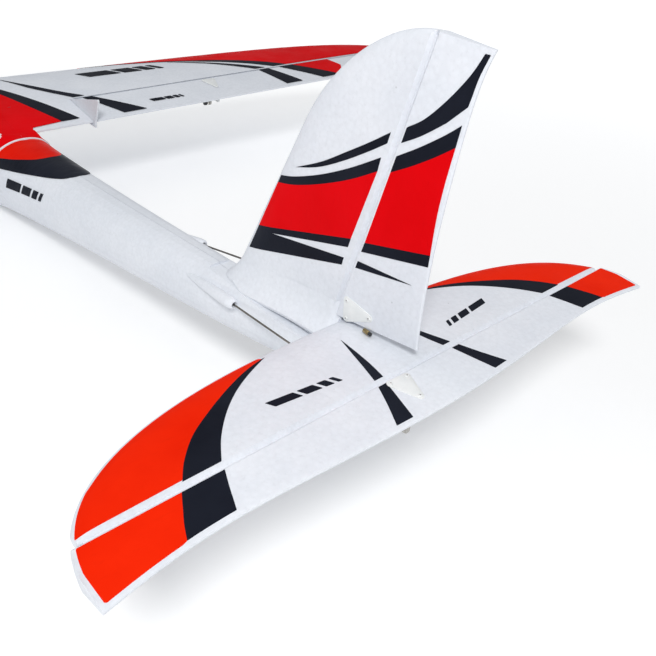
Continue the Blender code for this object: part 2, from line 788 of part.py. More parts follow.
def build_motor():
    """Stator with its mounting flange, and the bell with the shaft that turns around it."""
    centre = Vector((0, MOTOR_BACK_Y, THRUST_Z))
    back = -GAP
    stator = revolve(
        "motor_stator",
        [(2.3 * MM, back), (10.6 * MM, back), (10.6 * MM, back - 2.0 * MM), (5.0 * MM, back - 2.4 * MM),
         (5.0 * MM, back - 5 * MM), (9.8 * MM, back - 5 * MM), (9.8 * MM, back - 17 * MM),
         (4.2 * MM, back - 17 * MM), (4.2 * MM, back - 19 * MM), (2.3 * MM, back - 19 * MM)],
        centre, "copper_stator", 24)
    bell = revolve(
        "motor_bell",
        [(0.0, -2.0 * MM), (1.5 * MM, -2.0 * MM), (1.5 * MM, -20.5 * MM), (10.5 * MM, -20.5 * MM),
         (10.5 * MM, -5.0 * MM), (12.0 * MM, -5.0 * MM), (12.0 * MM, -20.5 * MM), (10.0 * MM, -23.5 * MM),
         (5.0 * MM, -24.5 * MM), (5.0 * MM, -26.5 * MM), (1.5 * MM, -26.5 * MM), (1.5 * MM, -49.0 * MM),
         (0.0, -49.0 * MM)],
        centre, "motor_steel", 24)
    shade(stator)
    shade(bell)
    place_origin(bell, centre)
    return stator, bell


HUB_BACK_Y = -0.2340
HUB_FRONT_Y = -0.2480
FOLD_X = 0.0150
FOLD_Y = -0.2425


def build_hub():
    """The yoke that clamps the shaft and carries a blade at each end."""
    centre = Vector((0, 0, THRUST_Z))
    hub = cylinder("propeller_hub", centre + Y * HUB_BACK_Y, centre + Y * HUB_FRONT_Y, 6.5 * MM, "aluminium", 20)
    for z in (1, -1):
        edges = sorted((z * 3.8 * MM, z * 5.0 * MM))
        low = (-0.0174, FOLD_Y - 3.2 * MM, THRUST_Z + edges[0])
        high = (0.0174, FOLD_Y + 3.2 * MM, THRUST_Z + edges[1])
        fuse(hub, box("cheek", low, high, "aluminium"))
    cut(hub, cylinder("bore", centre + Y * (HUB_BACK_Y + 0.01), centre + Y * (HUB_FRONT_Y - 0.01), 1.8 * MM))
    for side in (1, -1):
        spot = centre + X * side * FOLD_X + Y * FOLD_Y
        cut(hub, cylinder("pin_hole", spot - Z * 0.01, spot + Z * 0.01, 1.35 * MM, count=12))
    shade(hub)
    place_origin(hub, centre + Y * HUB_BACK_Y)
    return hub


def build_blade_pin(side, name):
    spot = Vector((side * FOLD_X, FOLD_Y, THRUST_Z))
    pin = cylinder(name, spot - Z * 5.5 * MM, spot + Z * 5.5 * MM, 1.0 * MM, "steel", 12)
    shade(pin)
    return pin


def build_blade(side, name):
    """A folding blade: an eye at the root, then a twisted, tapering aerofoil."""
    rings = []
    shares = (0.0, 0.06, 0.12, 0.2, 0.32, 0.46, 0.62, 0.78, 0.9, 0.97, 1.0)
    root_x = FOLD_X - 3.2 * MM
    for share in shares:
        x = root_x + (PROPELLER_RADIUS - root_x) * share
        body = min(max((share - 0.05) / 0.2, 0.0), 1.0)
        chord = 7.0 * MM + 13.0 * MM * math.sin(math.pi * min(share + 0.08, 1) ** 0.8) * body
        if share == 1.0:
            chord = 4.0 * MM
        thick = (6.0 * (1 - body) + 2.2 * body * (1 - 0.55 * share)) * MM
        pitch = body * (math.radians(34) * (1 - share) + math.radians(9))
        ahead = 2.8 * MM * min(share / 0.10, 1.0)
        ring = []
        for k in range(8):
            turn = 2 * math.pi * k / 8 + math.pi / 8
            a = chord / 2 * math.copysign(abs(math.cos(turn)) ** 0.8, math.cos(turn)) * 1.04
            b = thick / 2 * math.copysign(abs(math.sin(turn)) ** 0.8, math.sin(turn)) * 1.04
            across = Z * math.cos(pitch) * side + Y * math.sin(pitch)
            through = Y * math.cos(pitch) - Z * math.sin(pitch) * side
            ring.append(Vector((side * x, FOLD_Y - ahead, THRUST_Z)) + across * a + through * b)
        rings.append(ring)
    blade = loft(name, rings, "carbon")
    spot = Vector((side * FOLD_X, FOLD_Y, THRUST_Z))
    cut(blade, cylinder("eye", spot - Z * 0.01, spot + Z * 0.01, 1.35 * MM, count=12))
    shade(blade, 50)
    place_origin(blade, spot)
    return blade


def build_spinner():
    """A hollow cone with a slot on each side for a blade."""
    base, tip = -0.2365, -0.2765
    wall = 1.3 * MM
    steps = 10
    outer = []
    inner = []
    for i in range(steps + 1):
        share = i / steps
        shape = math.sqrt(max(1 - share**1.9, 0.0))
        outer.append((SPINNER_RADIUS * shape, base + (tip - base) * share))
        inner.append(((SPINNER_RADIUS - wall) * shape, base + (tip - base + 1.6 * wall) * share))
    profile = inner[::-1] + outer
    spinner = revolve("spinner", profile, Vector((0, 0, THRUST_Z)), "aluminium", 28)
    for side in (1, -1):
        xs = sorted((side * 7.0 * MM, side * 25 * MM))
        low = (xs[0], FOLD_Y - 5.4 * MM, THRUST_Z - 5.9 * MM)
        cut(spinner, box("blade_slot", low, (xs[1], base + 0.01, THRUST_Z + 5.9 * MM)))
    shade(spinner)
    place_origin(spinner, (0, base, THRUST_Z))
    return spinner


# ---------------------------------------------------------------- equipment
def build_equipment():
    tray = box("battery_tray", (-0.0154, -0.1340, 0.0153), (0.0154, -0.0450, 0.0170))
    for x in (-1, 1):
        xs = sorted((x * 0.0149, x * 0.0200))
        cut(tray, box("strap_notch", (xs[0], -0.1056, 0.0), (xs[1], -0.0844, 0.03)))
    battery = ((-0.0150, -0.1300, 0.0173), (0.0150, -0.0600, 0.0393))
    box("flight_battery", *battery, "battery_wrap", 1.5 * MM)
    build_strap(battery)
    box("speed_controller", (-0.0110, -0.1860, 0.0205), (0.0110, -0.1480, 0.0285), "servo_case", 1.0 * MM)
    box("receiver", (-0.0120, -0.0350, 0.0125), (0.0120, 0.0030, 0.0245), "servo_case", 1.0 * MM)
    for name, side in (("fuselage_magnet", -1), ("hatch_magnet", 1)):
        start, end = MAGNET + Y * side * 0.45 * MM, MAGNET + Y * side * 3.0 * MM
        cylinder(name, start, end, 2.2 * MM, "magnet")


def build_strap(battery_box):
    """The hook and loop strap, a closed band around the battery and its tray."""
    low, high = battery_box
    front, rear = -0.1050, -0.0850
    inner_x, outer_x = high[0] + GAP, high[0] + GAP + 0.9 * MM
    bottom, top = low[2] - 2.6 * MM, high[2] + GAP
    band = box("battery_strap", (-outer_x, front, bottom - 0.9 * MM), (outer_x, rear, top + 0.9 * MM), "strap")
    cut(band, box("inside", (-inner_x, front - 0.01, bottom), (inner_x, rear + 0.01, top)))
    return band


def servo(name, centre, forward, up, side_axis, size, finish="servo_case"):
    """A micro servo: case, mounting lugs and output boss. centre is the middle of the case."""
    length, width, height = size
    case = oriented_box(name, centre, (length, width, height), (forward, side_axis, up), finish)
    lug_centre = centre + up * height * 0.17
    lugs = oriented_box("lugs", lug_centre, (length + 9 * MM, width, 1.6 * MM), (forward, side_axis, up), finish)
    boss_at = centre + forward * (length / 2 - width / 2) + up * height / 2
    boss = cylinder("boss", boss_at - up * 1 * MM, boss_at + up * 2.4 * MM, width * 0.42, finish, 14)
    return fuse(case, lugs, boss)


def oriented_box(name, centre, size, axes, finish):
    corners = []
    for i in (-1, 1):
        for j in (-1, 1):
            for k in (-1, 1):
                offset = axes[0] * size[0] * i + axes[1] * size[1] * j + axes[2] * size[2] * k
                corners.append(centre + offset / 2)
    faces = [(0, 1, 3, 2), (4, 6, 7, 5), (0, 4, 5, 1), (2, 3, 7, 6), (0, 2, 6, 4), (1, 5, 7, 3)]
    return solid(name, corners, faces, finish)


def lever(name, hub, tip, normal, thickness, slot, finish="white_nylon", radii=(3.2 * MM, 2.7 * MM)):
    """A flat arm from a hub to a tip, with a slot for a pin near the tip."""
    along = (tip - hub).normalized()
    across = normal.cross(along)
    start = hub - normal * thickness / 2
    outline = []
    for k in range(9):
        turn = math.pi / 2 + math.pi * k / 8
        outline.append(start + (along * math.cos(turn) + across * math.sin(turn)) * radii[0])
    far = tip - normal * thickness / 2
    for k in range(9):
        turn = -math.pi / 2 + math.pi * k / 8
        outline.append(far + (along * math.cos(turn) + across * math.sin(turn)) * radii[1])
    arm = prism(name, outline, normal, thickness, finish)
    cut(arm, slot_cutter(hub, along, across, normal, slot))
    return arm


def slot_cutter(hub, along, across, normal, slot):
    """A radial slot: slot = (inner radius, outer radius, half width), from the hub."""
    inner, outer, half = slot
    outline = []
    for k in range(7):
        turn = math.pi / 2 + math.pi * k / 6
        outline.append(hub + along * inner + (along * math.cos(turn) + across * math.sin(turn)) * half)
    for k in range(7):
        turn = -math.pi / 2 + math.pi * k / 6
        outline.append(hub + along * outer + (along * math.cos(turn) + across * math.sin(turn)) * half)
    return prism("slot", [p - normal * 0.01 for p in outline], normal, 0.02)


# ---------------------------------------------------------------- control linkages
def rudder_axis():
    return (FIN_HINGE_HEAD - FIN_HINGE_FOOT).normalized()


def rudder_horn_hole():
    """Middle of the hole in the rudder horn: beside the hinge line, low on the starboard side."""
    z = 0.1015
    return Vector((-RUDDER_ARM, fin_hinge_y(z), z))


def horn_slot(radius):
    """Inner and outer radius and half width of the pin slot in a control horn."""
    return radius, radius + 1.1 * MM, 1.2 * MM


def triangle_corners(front, half, rear):
    """Screw positions of a horn plate, as (across, aft) from the hinge line."""
    return (-half, front), (half, front), (0.0, rear)


def triangle_plate(name, frame, corners, surface, thickness):
    """The three-screw plate of a horn, on a surface whose height is surface(distance aft)."""
    origin, lateral, aft, outward = frame
    middle = Vector((0.0, (corners[0][1] * 2 + corners[2][1]) / 3))
    base = []
    for corner in map(Vector, corners):
        facing = math.atan2((corner - middle).y, (corner - middle).x)
        for k in range(5):
            turn = facing + math.radians(-60 + 30 * k)
            base.append(corner + Vector((math.cos(turn), math.sin(turn))) * PLATE_CORNER)

    def place(p, lift):
        return origin + lateral * p.x + aft * p.y + outward * (surface(p.y) + lift)

    rings = [[place(p, GAP) for p in base], [place(p, GAP + thickness) for p in base]]
    plate = loft(name, rings, "white_nylon")
    return plate, [place(Vector(c), GAP + thickness) for c in corners]


def build_horn(name, frame, corners, surface, radius, foot):
    """A control horn: plate on the surface, and a blade square to the hinge that reaches its line."""
    origin, lateral, aft, outward = frame
    plate, _ = triangle_plate(name, frame, corners, surface, 1.2 * MM)
    square = lateral.cross(outward)
    square = square * math.copysign(1, square.dot(aft))
    half = 0.8 * MM
    outline = []
    for y in (4.6 * MM, foot):
        outline.append((y, surface(y) + GAP + 0.5 * MM))
    for k in range(4):
        turn = math.radians(30 * k)
        outline.append((foot - 2.4 * MM + 2.0 * MM * math.cos(turn), 15.6 * MM + 2.0 * MM * math.sin(turn)))
    for k in range(5):
        turn = math.radians(75 + 35 * k)
        outline.append((3.3 * MM * math.cos(turn), radius + 0.5 * MM + 3.3 * MM * math.sin(turn)))
    points = [origin - lateral * half + square * y + outward * z for y, z in outline]
    fuse(plate, prism("blade", points, lateral, 2 * half, "white_nylon"))
    cut(plate, slot_cutter(origin, outward, square, lateral, horn_slot(radius)))
    shade(plate)
    place_origin(plate, origin)
    return plate


def build_backplate(name, frame, corners, surface):
    """The plate on the far side of the surface, with a boss around each screw."""
    outward = frame[3]
    plate, tops = triangle_plate(name, frame, corners, surface, 0.9 * MM)
    for top in tops:
        fuse(plate, cylinder("boss", top - outward * 0.5 * MM, top + outward * 0.7 * MM, 1.7 * MM, "white_nylon", 10))
    shade(plate)
    place_origin(plate, frame[0])
    return plate


def connector(rod, hole, pin_axis, reach, wire_offset):
    """A screw-lock connector on the rod's end, with its pin through the horn and a cap behind."""
    far = wire_offset + 2.2 * MM
    barrel = cylinder("barrel", hole + pin_axis * 1.5 * MM, hole + pin_axis * far, 2.3 * MM, count=13)
    pin = cylinder("pin", hole + pin_axis * 2.1 * MM, hole - pin_axis * (reach + 0.8 * MM), 0.8 * MM, count=9)
    cap = cylinder("cap", hole - pin_axis * reach, hole - pin_axis * (reach + 1.6 * MM), 1.9 * MM, count=11)
    return fuse(rod, barrel, pin, cap)


def bent_start(tip, axis, forward, drop, rise):
    """Path of a rod's bent end: up through the arm's hole at tip, then round a corner."""
    bend = 1.2 * MM
    top = tip + axis * rise
    return [tip - axis * drop, top - axis * bend, top - axis * bend * 0.3 + forward * bend * 0.3, top + forward * bend]


def build_tail_linkage(kind):
    """Servo, arm, pushrod, guide tube and horn set of the elevator or the rudder."""
    if kind == "elevator":
        radius, reach = ELEVATOR_ARM, 1.4 * MM
        tip = Vector((0.0100, 0.0680, 0.0492))
        hub = tip - X * radius
        origin = Vector((ELEVATOR_HORN_X, ELEVATOR_HINGE_Y, TAIL_Z))
        lateral, aft, outward = X, Y, -Z
        corners, foot = triangle_corners(5.4 * MM, 5.8 * MM, 19.0 * MM), 17.0 * MM
        chord = TAIL_Y - ELEVATOR_HINGE_Y
    else:
        radius, reach = RUDDER_ARM, 3.4 * MM
        tip = Vector((-0.0100, 0.1130, 0.0492))
        hub = tip + X * radius
        origin = rudder_horn_hole() + X * radius
        lateral, aft, outward = -rudder_axis(), Vector((0, 1, 0.14)).normalized(), -X
        corners, foot = triangle_corners(6.4 * MM, 5.1 * MM, 20.5 * MM), 12.0 * MM
        chord = 0.0545
    fall = (TAIL_HALF_THICKNESS - EDGE_HALF_THICKNESS) / chord

    def surface(distance):
        return TAIL_HALF_THICKNESS - fall * distance + 0.1 * MM

    build_horn(f"{kind}_horn", (origin, lateral, aft, outward), corners, surface, radius, foot)
    build_backplate(f"{kind}_horn_backplate", (origin, lateral, aft, -outward), corners, surface)

    centre = Vector((hub.x, hub.y + 5.6 * MM, 0.0345))
    body = servo(f"{kind}_servo", centre, -Y, Z, X, (22.8 * MM, 11.8 * MM, 22.0 * MM))
    shade(body)
    slot = (radius - 0.1 * MM, radius + 0.7 * MM, 1.25 * MM)
    arm = lever(f"{kind}_servo_arm", hub, tip, Z, 1.6 * MM, slot, radii=(3.2 * MM, 3.2 * MM))
    shade(arm)
    place_origin(arm, hub)

    end, direction = rod_line(kind)
    route = rod_route(kind)
    join = route[0] - Y * 25 * MM
    path = bent_start(tip, Z, Y, 2.1 * MM, 2.6 * MM)
    path.append(tip + Z * 2.6 * MM + Y * 12 * MM)
    path.append(path[-1] + Y * 18 * MM + (join - tip) * 0.10)
    path.append(join)
    path += route
    if kind == "elevator":
        path.append(end + direction * ROD_TAIL)
    else:
        path += bent_start(end, -rudder_axis(), -direction, 0.0, 0.0)[:0:-1]
        path.append(end + rudder_axis() * (ROD_OFFSET + reach + 1.0 * MM))
    rod = sweep(f"{kind}_pushrod", path, WIRE_RADIUS, "steel_wire")
    if kind == "elevator":
        connector(rod, origin + outward * radius, lateral, reach, ROD_OFFSET)
    else:
        keeper = end + rudder_axis() * (ROD_OFFSET + reach)
        fuse(rod, cylinder("keeper", keeper, keeper + rudder_axis() * 1.6 * MM, 1.9 * MM, count=11))
    shade(rod)
    place_origin(rod, end)
    route[-1] = route[-1] - (route[-1] - route[-2]).normalized() * 4 * MM
    tube = ring_tube(f"{kind}_guide_tube", route[1:], 1.55 * MM, 1.05 * MM, "clear_tube", 12)
    shade(tube)


def build_aileron_linkage(side):
    """Servo in its bay under the wing, arm, pushrod, horn and backplate of one aileron."""
    word = "left" if side > 0 else "right"
    hinge_y = WING_REAR_Y - AILERON_CHORD
    x = AILERON_HORN_X
    axis_z = hinge_axis_height(x)
    inner, outer = aileron_hinge(side)
    outboard = (outer - inner).normalized()
    up = Vector((-outboard.z * side, 0, abs(outboard.x)))
    origin = Vector((side * x, hinge_y, axis_z))
    corners = triangle_corners(5.4 * MM, 5.8 * MM, 19.0 * MM)

    def under(distance):
        return axis_z - aerofoil(x, hinge_y + distance)[1] + 0.1 * MM

    def over(distance):
        return aerofoil(x, hinge_y + distance)[0] - axis_z + 0.1 * MM

    build_horn(f"aileron_horn_{word}", (origin, outboard, Y, -up), corners, under, AILERON_ARM, 17.0 * MM)
    build_backplate(f"aileron_horn_backplate_{word}", (origin, outboard, Y, up), corners, over)

    low, high = servo_bay(side)
    case_length, case_width, case_height = 21.8 * MM, 9.0 * MM, 20.0 * MM
    wide = X * side
    centre = (low + high) / 2
    centre.x = side * (x - 2.4 * MM - case_height / 2)
    centre.z = high.z - 0.6 * MM - case_width / 2
    size = (case_length, case_width, case_height)
    case = oriented_box(f"aileron_servo_{word}", centre, size, (Y, Z, wide), "servo_case")
    shaft = centre + Y * (case_length - case_width) / 2
    face = shaft + wide * case_height / 2
    fuse(case, cylinder("boss", face - wide * 1 * MM, face + wide * 1.2 * MM, 3.6 * MM, "servo_case", 14))
    shade(case)
    hub = Vector((side * x, shaft.y, shaft.z))
    tip = hub - up * AILERON_ARM
    slot = (AILERON_ARM - 0.1 * MM, AILERON_ARM + 1.0 * MM, 1.15 * MM)
    arm = lever(f"aileron_servo_arm_{word}", hub, tip, outboard, 1.6 * MM, slot, radii=(3.2 * MM, 3.2 * MM))
    shade(arm)
    place_origin(arm, hub)

    hole = origin - up * AILERON_ARM
    wire_end = hole + outboard * ROD_OFFSET
    path = bent_start(tip, outboard, Y, 2.1 * MM, ROD_OFFSET)
    path.append(wire_end - Y * 7 * MM)
    path.append(wire_end + Y * 4.5 * MM)
    rod = sweep(f"aileron_pushrod_{word}", path, WIRE_RADIUS, "steel_wire")
    connector(rod, hole, outboard, 1.4 * MM, ROD_OFFSET)
    shade(rod)
    place_origin(rod, wire_end)


def build_servo_tray():
    tray = box("servo_tray", (-0.0205, 0.0480, 0.0351), (0.0205, 0.1400, 0.0371))
    servos = (("elevator", 0.0680, 0.0100 - ELEVATOR_ARM), ("rudder", 0.1130, -0.0100 + RUDDER_ARM))
    for kind, tip_y, hub_x in servos:
        y = tip_y + 5.6 * MM
        low = (hub_x - 6.2 * MM, y - 11.8 * MM, 0.03)
        cut(tray, box(f"{kind}_window", low, (hub_x + 6.2 * MM, y + 11.8 * MM, 0.05)))
    return tray


def build_tail_screws():
    """Two screws from below through the end of the fuselage into the stabiliser."""
    for y, name in zip(TAIL_SCREWS_Y, ("tail_screw_front", "tail_screw_rear")):
        foot = Vector((0, y, TAIL_SCREW_HEAD_Z))
        screw = cylinder(name, foot, Vector((0, y, TAIL_Z + 1.0 * MM)), 1.1 * MM, "steel", 12)
        fuse(screw, cylinder("head", foot - Z * 1.8 * MM, foot + Z * 0.1 * MM, 2.4 * MM, "steel", 12))
        shade(screw)


def build_wing_bolt(side, name):
    """A nylon bolt through the wing into the saddle; its head sits in a recess."""
    spot = wing_bolt_spot(side)
    head = aerofoil(spot.x, spot.y)[0] - 1.6 * MM + GAP
    bolt = cylinder(name, spot + Z * 0.0560, spot + Z * (head + 0.5 * MM), 2.0 * MM, "black_nylon", 14)
    fuse(bolt, cylinder("head", spot + Z * head, spot + Z * (head + 1.4 * MM), 4.2 * MM, "black_nylon", 14))
    shade(bolt)
    return bolt


def main():
    clear_scene()
    for side, word in ((1, "left"), (-1, "right")):
        build_fuselage_half(side, f"fuselage_{word}_shell")
        build_wing_panel(side, f"wing_panel_{word}")
        build_aileron(side, f"aileron_{word}")
        build_fence(side, f"wing_fence_{word}")
        build_aileron_linkage(side)
        build_wing_bolt(side, f"wing_bolt_{word}")
        build_blade(side, f"propeller_blade_{word}")
        build_blade_pin(side, f"blade_pin_{word}")
    shade(ring_tube("wing_joiner_tube", joiner_path(0.160), 3.0 * MM, 2.0 * MM, "carbon"))
    build_stabilizer()
    build_elevator()
    build_fin()
    build_rudder()
    build_tail_screws()
    build_hatch()
    build_motor_mount()
    build_motor()
    build_hub()
    build_spinner()
    build_equipment()
    build_servo_tray()
    build_tail_linkage("elevator")
    build_tail_linkage("rudder")


main()
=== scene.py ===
"""Looks of a foam radio-controlled sailplane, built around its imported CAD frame.

Metres, +Z up, nose towards -Y, +X to port. Outlines of printed films are in millimetres.
"""
import json
import math

import bmesh
import bpy
from mathutils import Matrix, Vector
from mathutils.geometry import delaunay_2d_cdt, intersect_point_line


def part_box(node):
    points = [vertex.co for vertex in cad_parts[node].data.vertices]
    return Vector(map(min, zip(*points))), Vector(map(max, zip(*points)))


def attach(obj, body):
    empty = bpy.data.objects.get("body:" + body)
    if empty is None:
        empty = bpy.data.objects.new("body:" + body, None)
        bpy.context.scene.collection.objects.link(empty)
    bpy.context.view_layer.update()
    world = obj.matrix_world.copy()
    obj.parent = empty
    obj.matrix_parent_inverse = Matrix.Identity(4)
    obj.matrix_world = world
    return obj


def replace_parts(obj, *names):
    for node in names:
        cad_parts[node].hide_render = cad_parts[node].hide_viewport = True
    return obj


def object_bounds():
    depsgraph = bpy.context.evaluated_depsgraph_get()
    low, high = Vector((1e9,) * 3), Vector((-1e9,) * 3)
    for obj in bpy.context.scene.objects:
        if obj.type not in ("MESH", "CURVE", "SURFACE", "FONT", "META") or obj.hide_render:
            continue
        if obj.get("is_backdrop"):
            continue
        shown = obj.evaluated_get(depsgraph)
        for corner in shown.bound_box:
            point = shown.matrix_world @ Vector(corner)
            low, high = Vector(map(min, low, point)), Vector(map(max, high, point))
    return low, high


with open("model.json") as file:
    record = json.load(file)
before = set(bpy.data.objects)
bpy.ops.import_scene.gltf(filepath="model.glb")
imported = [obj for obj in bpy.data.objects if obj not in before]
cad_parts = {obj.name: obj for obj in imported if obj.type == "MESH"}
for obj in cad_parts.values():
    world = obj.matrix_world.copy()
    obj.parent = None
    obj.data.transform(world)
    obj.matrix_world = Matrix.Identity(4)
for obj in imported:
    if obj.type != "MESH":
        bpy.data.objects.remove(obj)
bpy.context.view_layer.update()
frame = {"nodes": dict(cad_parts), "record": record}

MM = 0.001
SIDES = (("left", 1), ("right", -1))

# ---------------------------------------------------------------- shape of the airframe
HALF_SPAN = 0.560
ROOT_CHORD = 0.1412
TAPER = 0.235
TIP_POWER = 6.8
INCIDENCE = math.radians(2.0)
DIHEDRAL = math.radians(1.8)
WING_REAR_Y = 0.1025
WING_Z = 0.0741
WING_THICKNESS = 0.105
WING_CAMBER = 0.020
FOAM_EDGE = 1.3 * MM
AILERON_CHORD = 0.043
AILERON_INNER_X = 0.0725
AILERON_OUTER_X = 0.497
TAIL_Y = 0.570
TAIL_Z = 0.0906
TAIL_HALF_SPAN = 0.187
TAIL_CHORD = 0.0832
TAIL_FRONT_POWER, TAIL_FRONT_ROOT = 2.9, 0.38
TAIL_HALF = 3.4 * MM                  # half thickness of the fin and the tailplane
EDGE_HALF = 1.0 * MM                  # half thickness at a moving surface's rear edge
EDGE_ROUND = 1.1 * MM
ELEVATOR_HINGE_Y = 0.5393
STAB_TIP_X = 0.1802
STAB_SEAT_Y = 0.4880
FIN_FOOT = Vector((0, 0.4830, 0.0933))
FIN_HEAD = Vector((0, 0.5184, 0.2447))
FIN_SWEEP = 0.452                     # run aft per height of the fin's leading edge
FIN_FRONT_Y = 0.4033
FIN_FRONT_Z = 0.094
FIN_TOP_Z = 0.2447
FIN_ARC_Z = 0.1875
FIN_FOOT_Z = 0.0773
FLARE_TOP_Z = 0.0960
RUDDER_FOOT_Z, RUDDER_REAR_Z = 0.0948, 0.1006
RUDDER_REAR_Y = 0.5380
HINGE_GAP = 0.06 * MM
GROOVE = 1.9 * MM                     # width of the hinge groove on each side of the hinge line
SLOT, SLOT_HALF, SLOPE_HALF = 0.40 * MM, 0.15 * MM, 1.8 * MM
GROOVE_STEPS = (0.0, 0.2, 0.4, 0.8, 1.3, 1.9)
SKIN_HALF, SKIN_DEEP = 0.46, 1.7      # of the tail's hinge skins, in millimetres
SKIN_END_X, SKIN_FOOT_Z = 0.1785, 0.0955
FILLET_FRONT_Y, FILLET_REAR_Y = 0.3910, 0.4872
SADDLE_TURN = 62                      # degrees the wing's saddle reaches down from the crown
SADDLE_FRONT_Y, SADDLE_REAR_Y, SADDLE_TONGUE = 0.0985, 0.1030, 0.0098
ROUNDNESS = 2.3                       # power of the fuselage's rounded-square sections
FUSELAGE = (                          # y, half width, bottom z, top z
    (0.0000, 0.0305, -0.0012, 0.0845),
    (0.0600, 0.0300, -0.0008, 0.0783),
    (0.1025, 0.0290, 0.0072, 0.0737),
    (0.160, 0.0256, 0.0150, 0.0733),
    (0.250, 0.0217, 0.0260, 0.0748),
    (0.310, 0.0195, 0.0325, 0.0765),
    (0.400, 0.0168, 0.0430, 0.0800),
    (0.470, 0.0142, 0.0530, 0.0890),
    (0.533, 0.0100, 0.0660, 0.0920),
)
LIFT = 0.14 * MM                      # how far a printed film stands off the foam


def wing_chord(x):
    share = min(abs(x) / HALF_SPAN, 1.0)
    return ROOT_CHORD * (1 - TAPER * share) * math.sqrt(max(1 - share**TIP_POWER, 0.0))


def wing_top(x, y):
    """Height of the wing's upper skin: a four-digit thickness form on a parabolic camber line."""
    chord = wing_chord(x)
    u = min(max((y - (WING_REAR_Y - chord)) / chord, 0.0), 1.0)
    shape = 0.2969 * math.sqrt(u) - 0.1260 * u - 0.3516 * u**2 + 0.2843 * u**3 - 0.1015 * u**4
    half = 5 * WING_THICKNESS * shape * chord + FOAM_EDGE * u * 0.75
    middle = WING_Z + abs(x) * math.tan(DIHEDRAL) + (WING_REAR_Y - y) * math.tan(INCIDENCE)
    return middle + 4 * WING_CAMBER * u * (1 - u) * chord + half


def wing_front_y(x):
    return WING_REAR_Y - wing_chord(x)


def tail_front_y(x):
    share = min(abs(x) / (TAIL_HALF_SPAN + 1 * MM), 1.0)
    return TAIL_Y - TAIL_CHORD * (1 - share**TAIL_FRONT_POWER) ** TAIL_FRONT_ROOT


def tail_rear_y(x):
    share = min(abs(x) / TAIL_HALF_SPAN, 1.0)
    return TAIL_Y - 2.5 * MM - 5.6 * MM * math.sin(math.pi * share**1.9)


def bevel(away):
    """Half thickness that the hinge groove leaves near the hinge line: a slot, then a wide slope."""
    if away < SLOT:
        return SLOT_HALF + (SLOPE_HALF - SLOT_HALF) * max(away, 0.0) / SLOT
    return SLOPE_HALF + (TAIL_HALF - SLOPE_HALF) * min((away - SLOT) / (GROOVE - SLOT), 1.0)


def plate_half(along, front, rear, nose=0.016):
    """Half thickness of a fixed tail surface: round at the front, grooved along the hinge."""
    share = min(max((along - front) / nose, 0.0), 1.0)
    half = TAIL_HALF * math.sqrt(max(1 - (1 - share) ** 2, 0.0))
    return min(half, bevel(rear - along)) if rear - front > GROOVE else half


def flap_half(along, front, rear):
    """Half thickness of a moving surface: sloped at the hinge, thin and rounded at the back."""
    share = min(max((along - front) / max(rear - front, 1e-6), 0.0), 1.0)
    half = TAIL_HALF + (EDGE_HALF - TAIL_HALF) * share
    edge = min(max((rear - along) / EDGE_ROUND, 0.0), 1.0)
    half *= 0.30 + 0.70 * math.sqrt(1 - (1 - edge) ** 2)
    return min(half, bevel(along - front))


def fin_hinge_y(z):
    rise = (z - FIN_FOOT.z) / (FIN_HEAD.z - FIN_FOOT.z)
    return FIN_FOOT.y + (FIN_HEAD.y - FIN_FOOT.y) * rise


def fin_front_y(z):
    straight = FIN_FRONT_Y + FIN_SWEEP * (z - FIN_FRONT_Z)
    if z <= FIN_ARC_Z:
        return straight
    share = min((z - FIN_ARC_Z) / (FIN_TOP_Z - FIN_ARC_Z), 1.0)
    reach = fin_hinge_y(FIN_TOP_Z) - FIN_FRONT_Y - FIN_SWEEP * (FIN_TOP_Z - FIN_FRONT_Z)
    return straight + reach * (1 - math.sqrt(1 - share**2))


def fin_foot(z):
    """The fin near the fuselage, as (factor on its thickness, run forward of its leading edge)."""
    flare = max(0.0, (FLARE_TOP_Z - z) / (FLARE_TOP_Z - FIN_FOOT_Z))
    return 1 + 1.3 * flare**2, 6 * MM * flare**2


def rudder_rear_y(share):
    hollow = 3.4 * MM * math.sin(math.pi * share**0.75)
    return RUDDER_REAR_Y - hollow + 4.2 * MM * share + 4.0 * MM * share**12


def rudder_place(share, along):
    """(y, z) on the rudder: share runs from foot to head, along from the hinge (0) to the back (1)."""
    hinge_z = RUDDER_FOOT_Z + (FIN_TOP_Z - RUDDER_FOOT_Z) * share
    rear_z = RUDDER_REAR_Z + (FIN_TOP_Z - 1.5 * MM - RUDDER_REAR_Z) * share
    front, rear = fin_hinge_y(hinge_z) + HINGE_GAP, rudder_rear_y(share)
    return front + (rear - front) * along, hinge_z + (rear_z - hinge_z) * along, front, rear


def rudder_half_at(y, z):
    """Half thickness of the rudder at a point of its side."""
    share = min(max((z - RUDDER_FOOT_Z) / (FIN_TOP_Z - RUDDER_FOOT_Z), 0.0), 1.0)
    for _ in range(3):
        front = fin_hinge_y(RUDDER_FOOT_Z + (FIN_TOP_Z - RUDDER_FOOT_Z) * share)
        rear = rudder_rear_y(share)
        along = min(max((y - front) / (rear - front), 0.0), 1.0)
        low = RUDDER_FOOT_Z + (RUDDER_REAR_Z - RUDDER_FOOT_Z) * along
        high = FIN_TOP_Z - 1.5 * MM * along
        share = min(max((z - low) / (high - low), 0.0), 1.0)
    return flap_half(y, front + HINGE_GAP, rear)


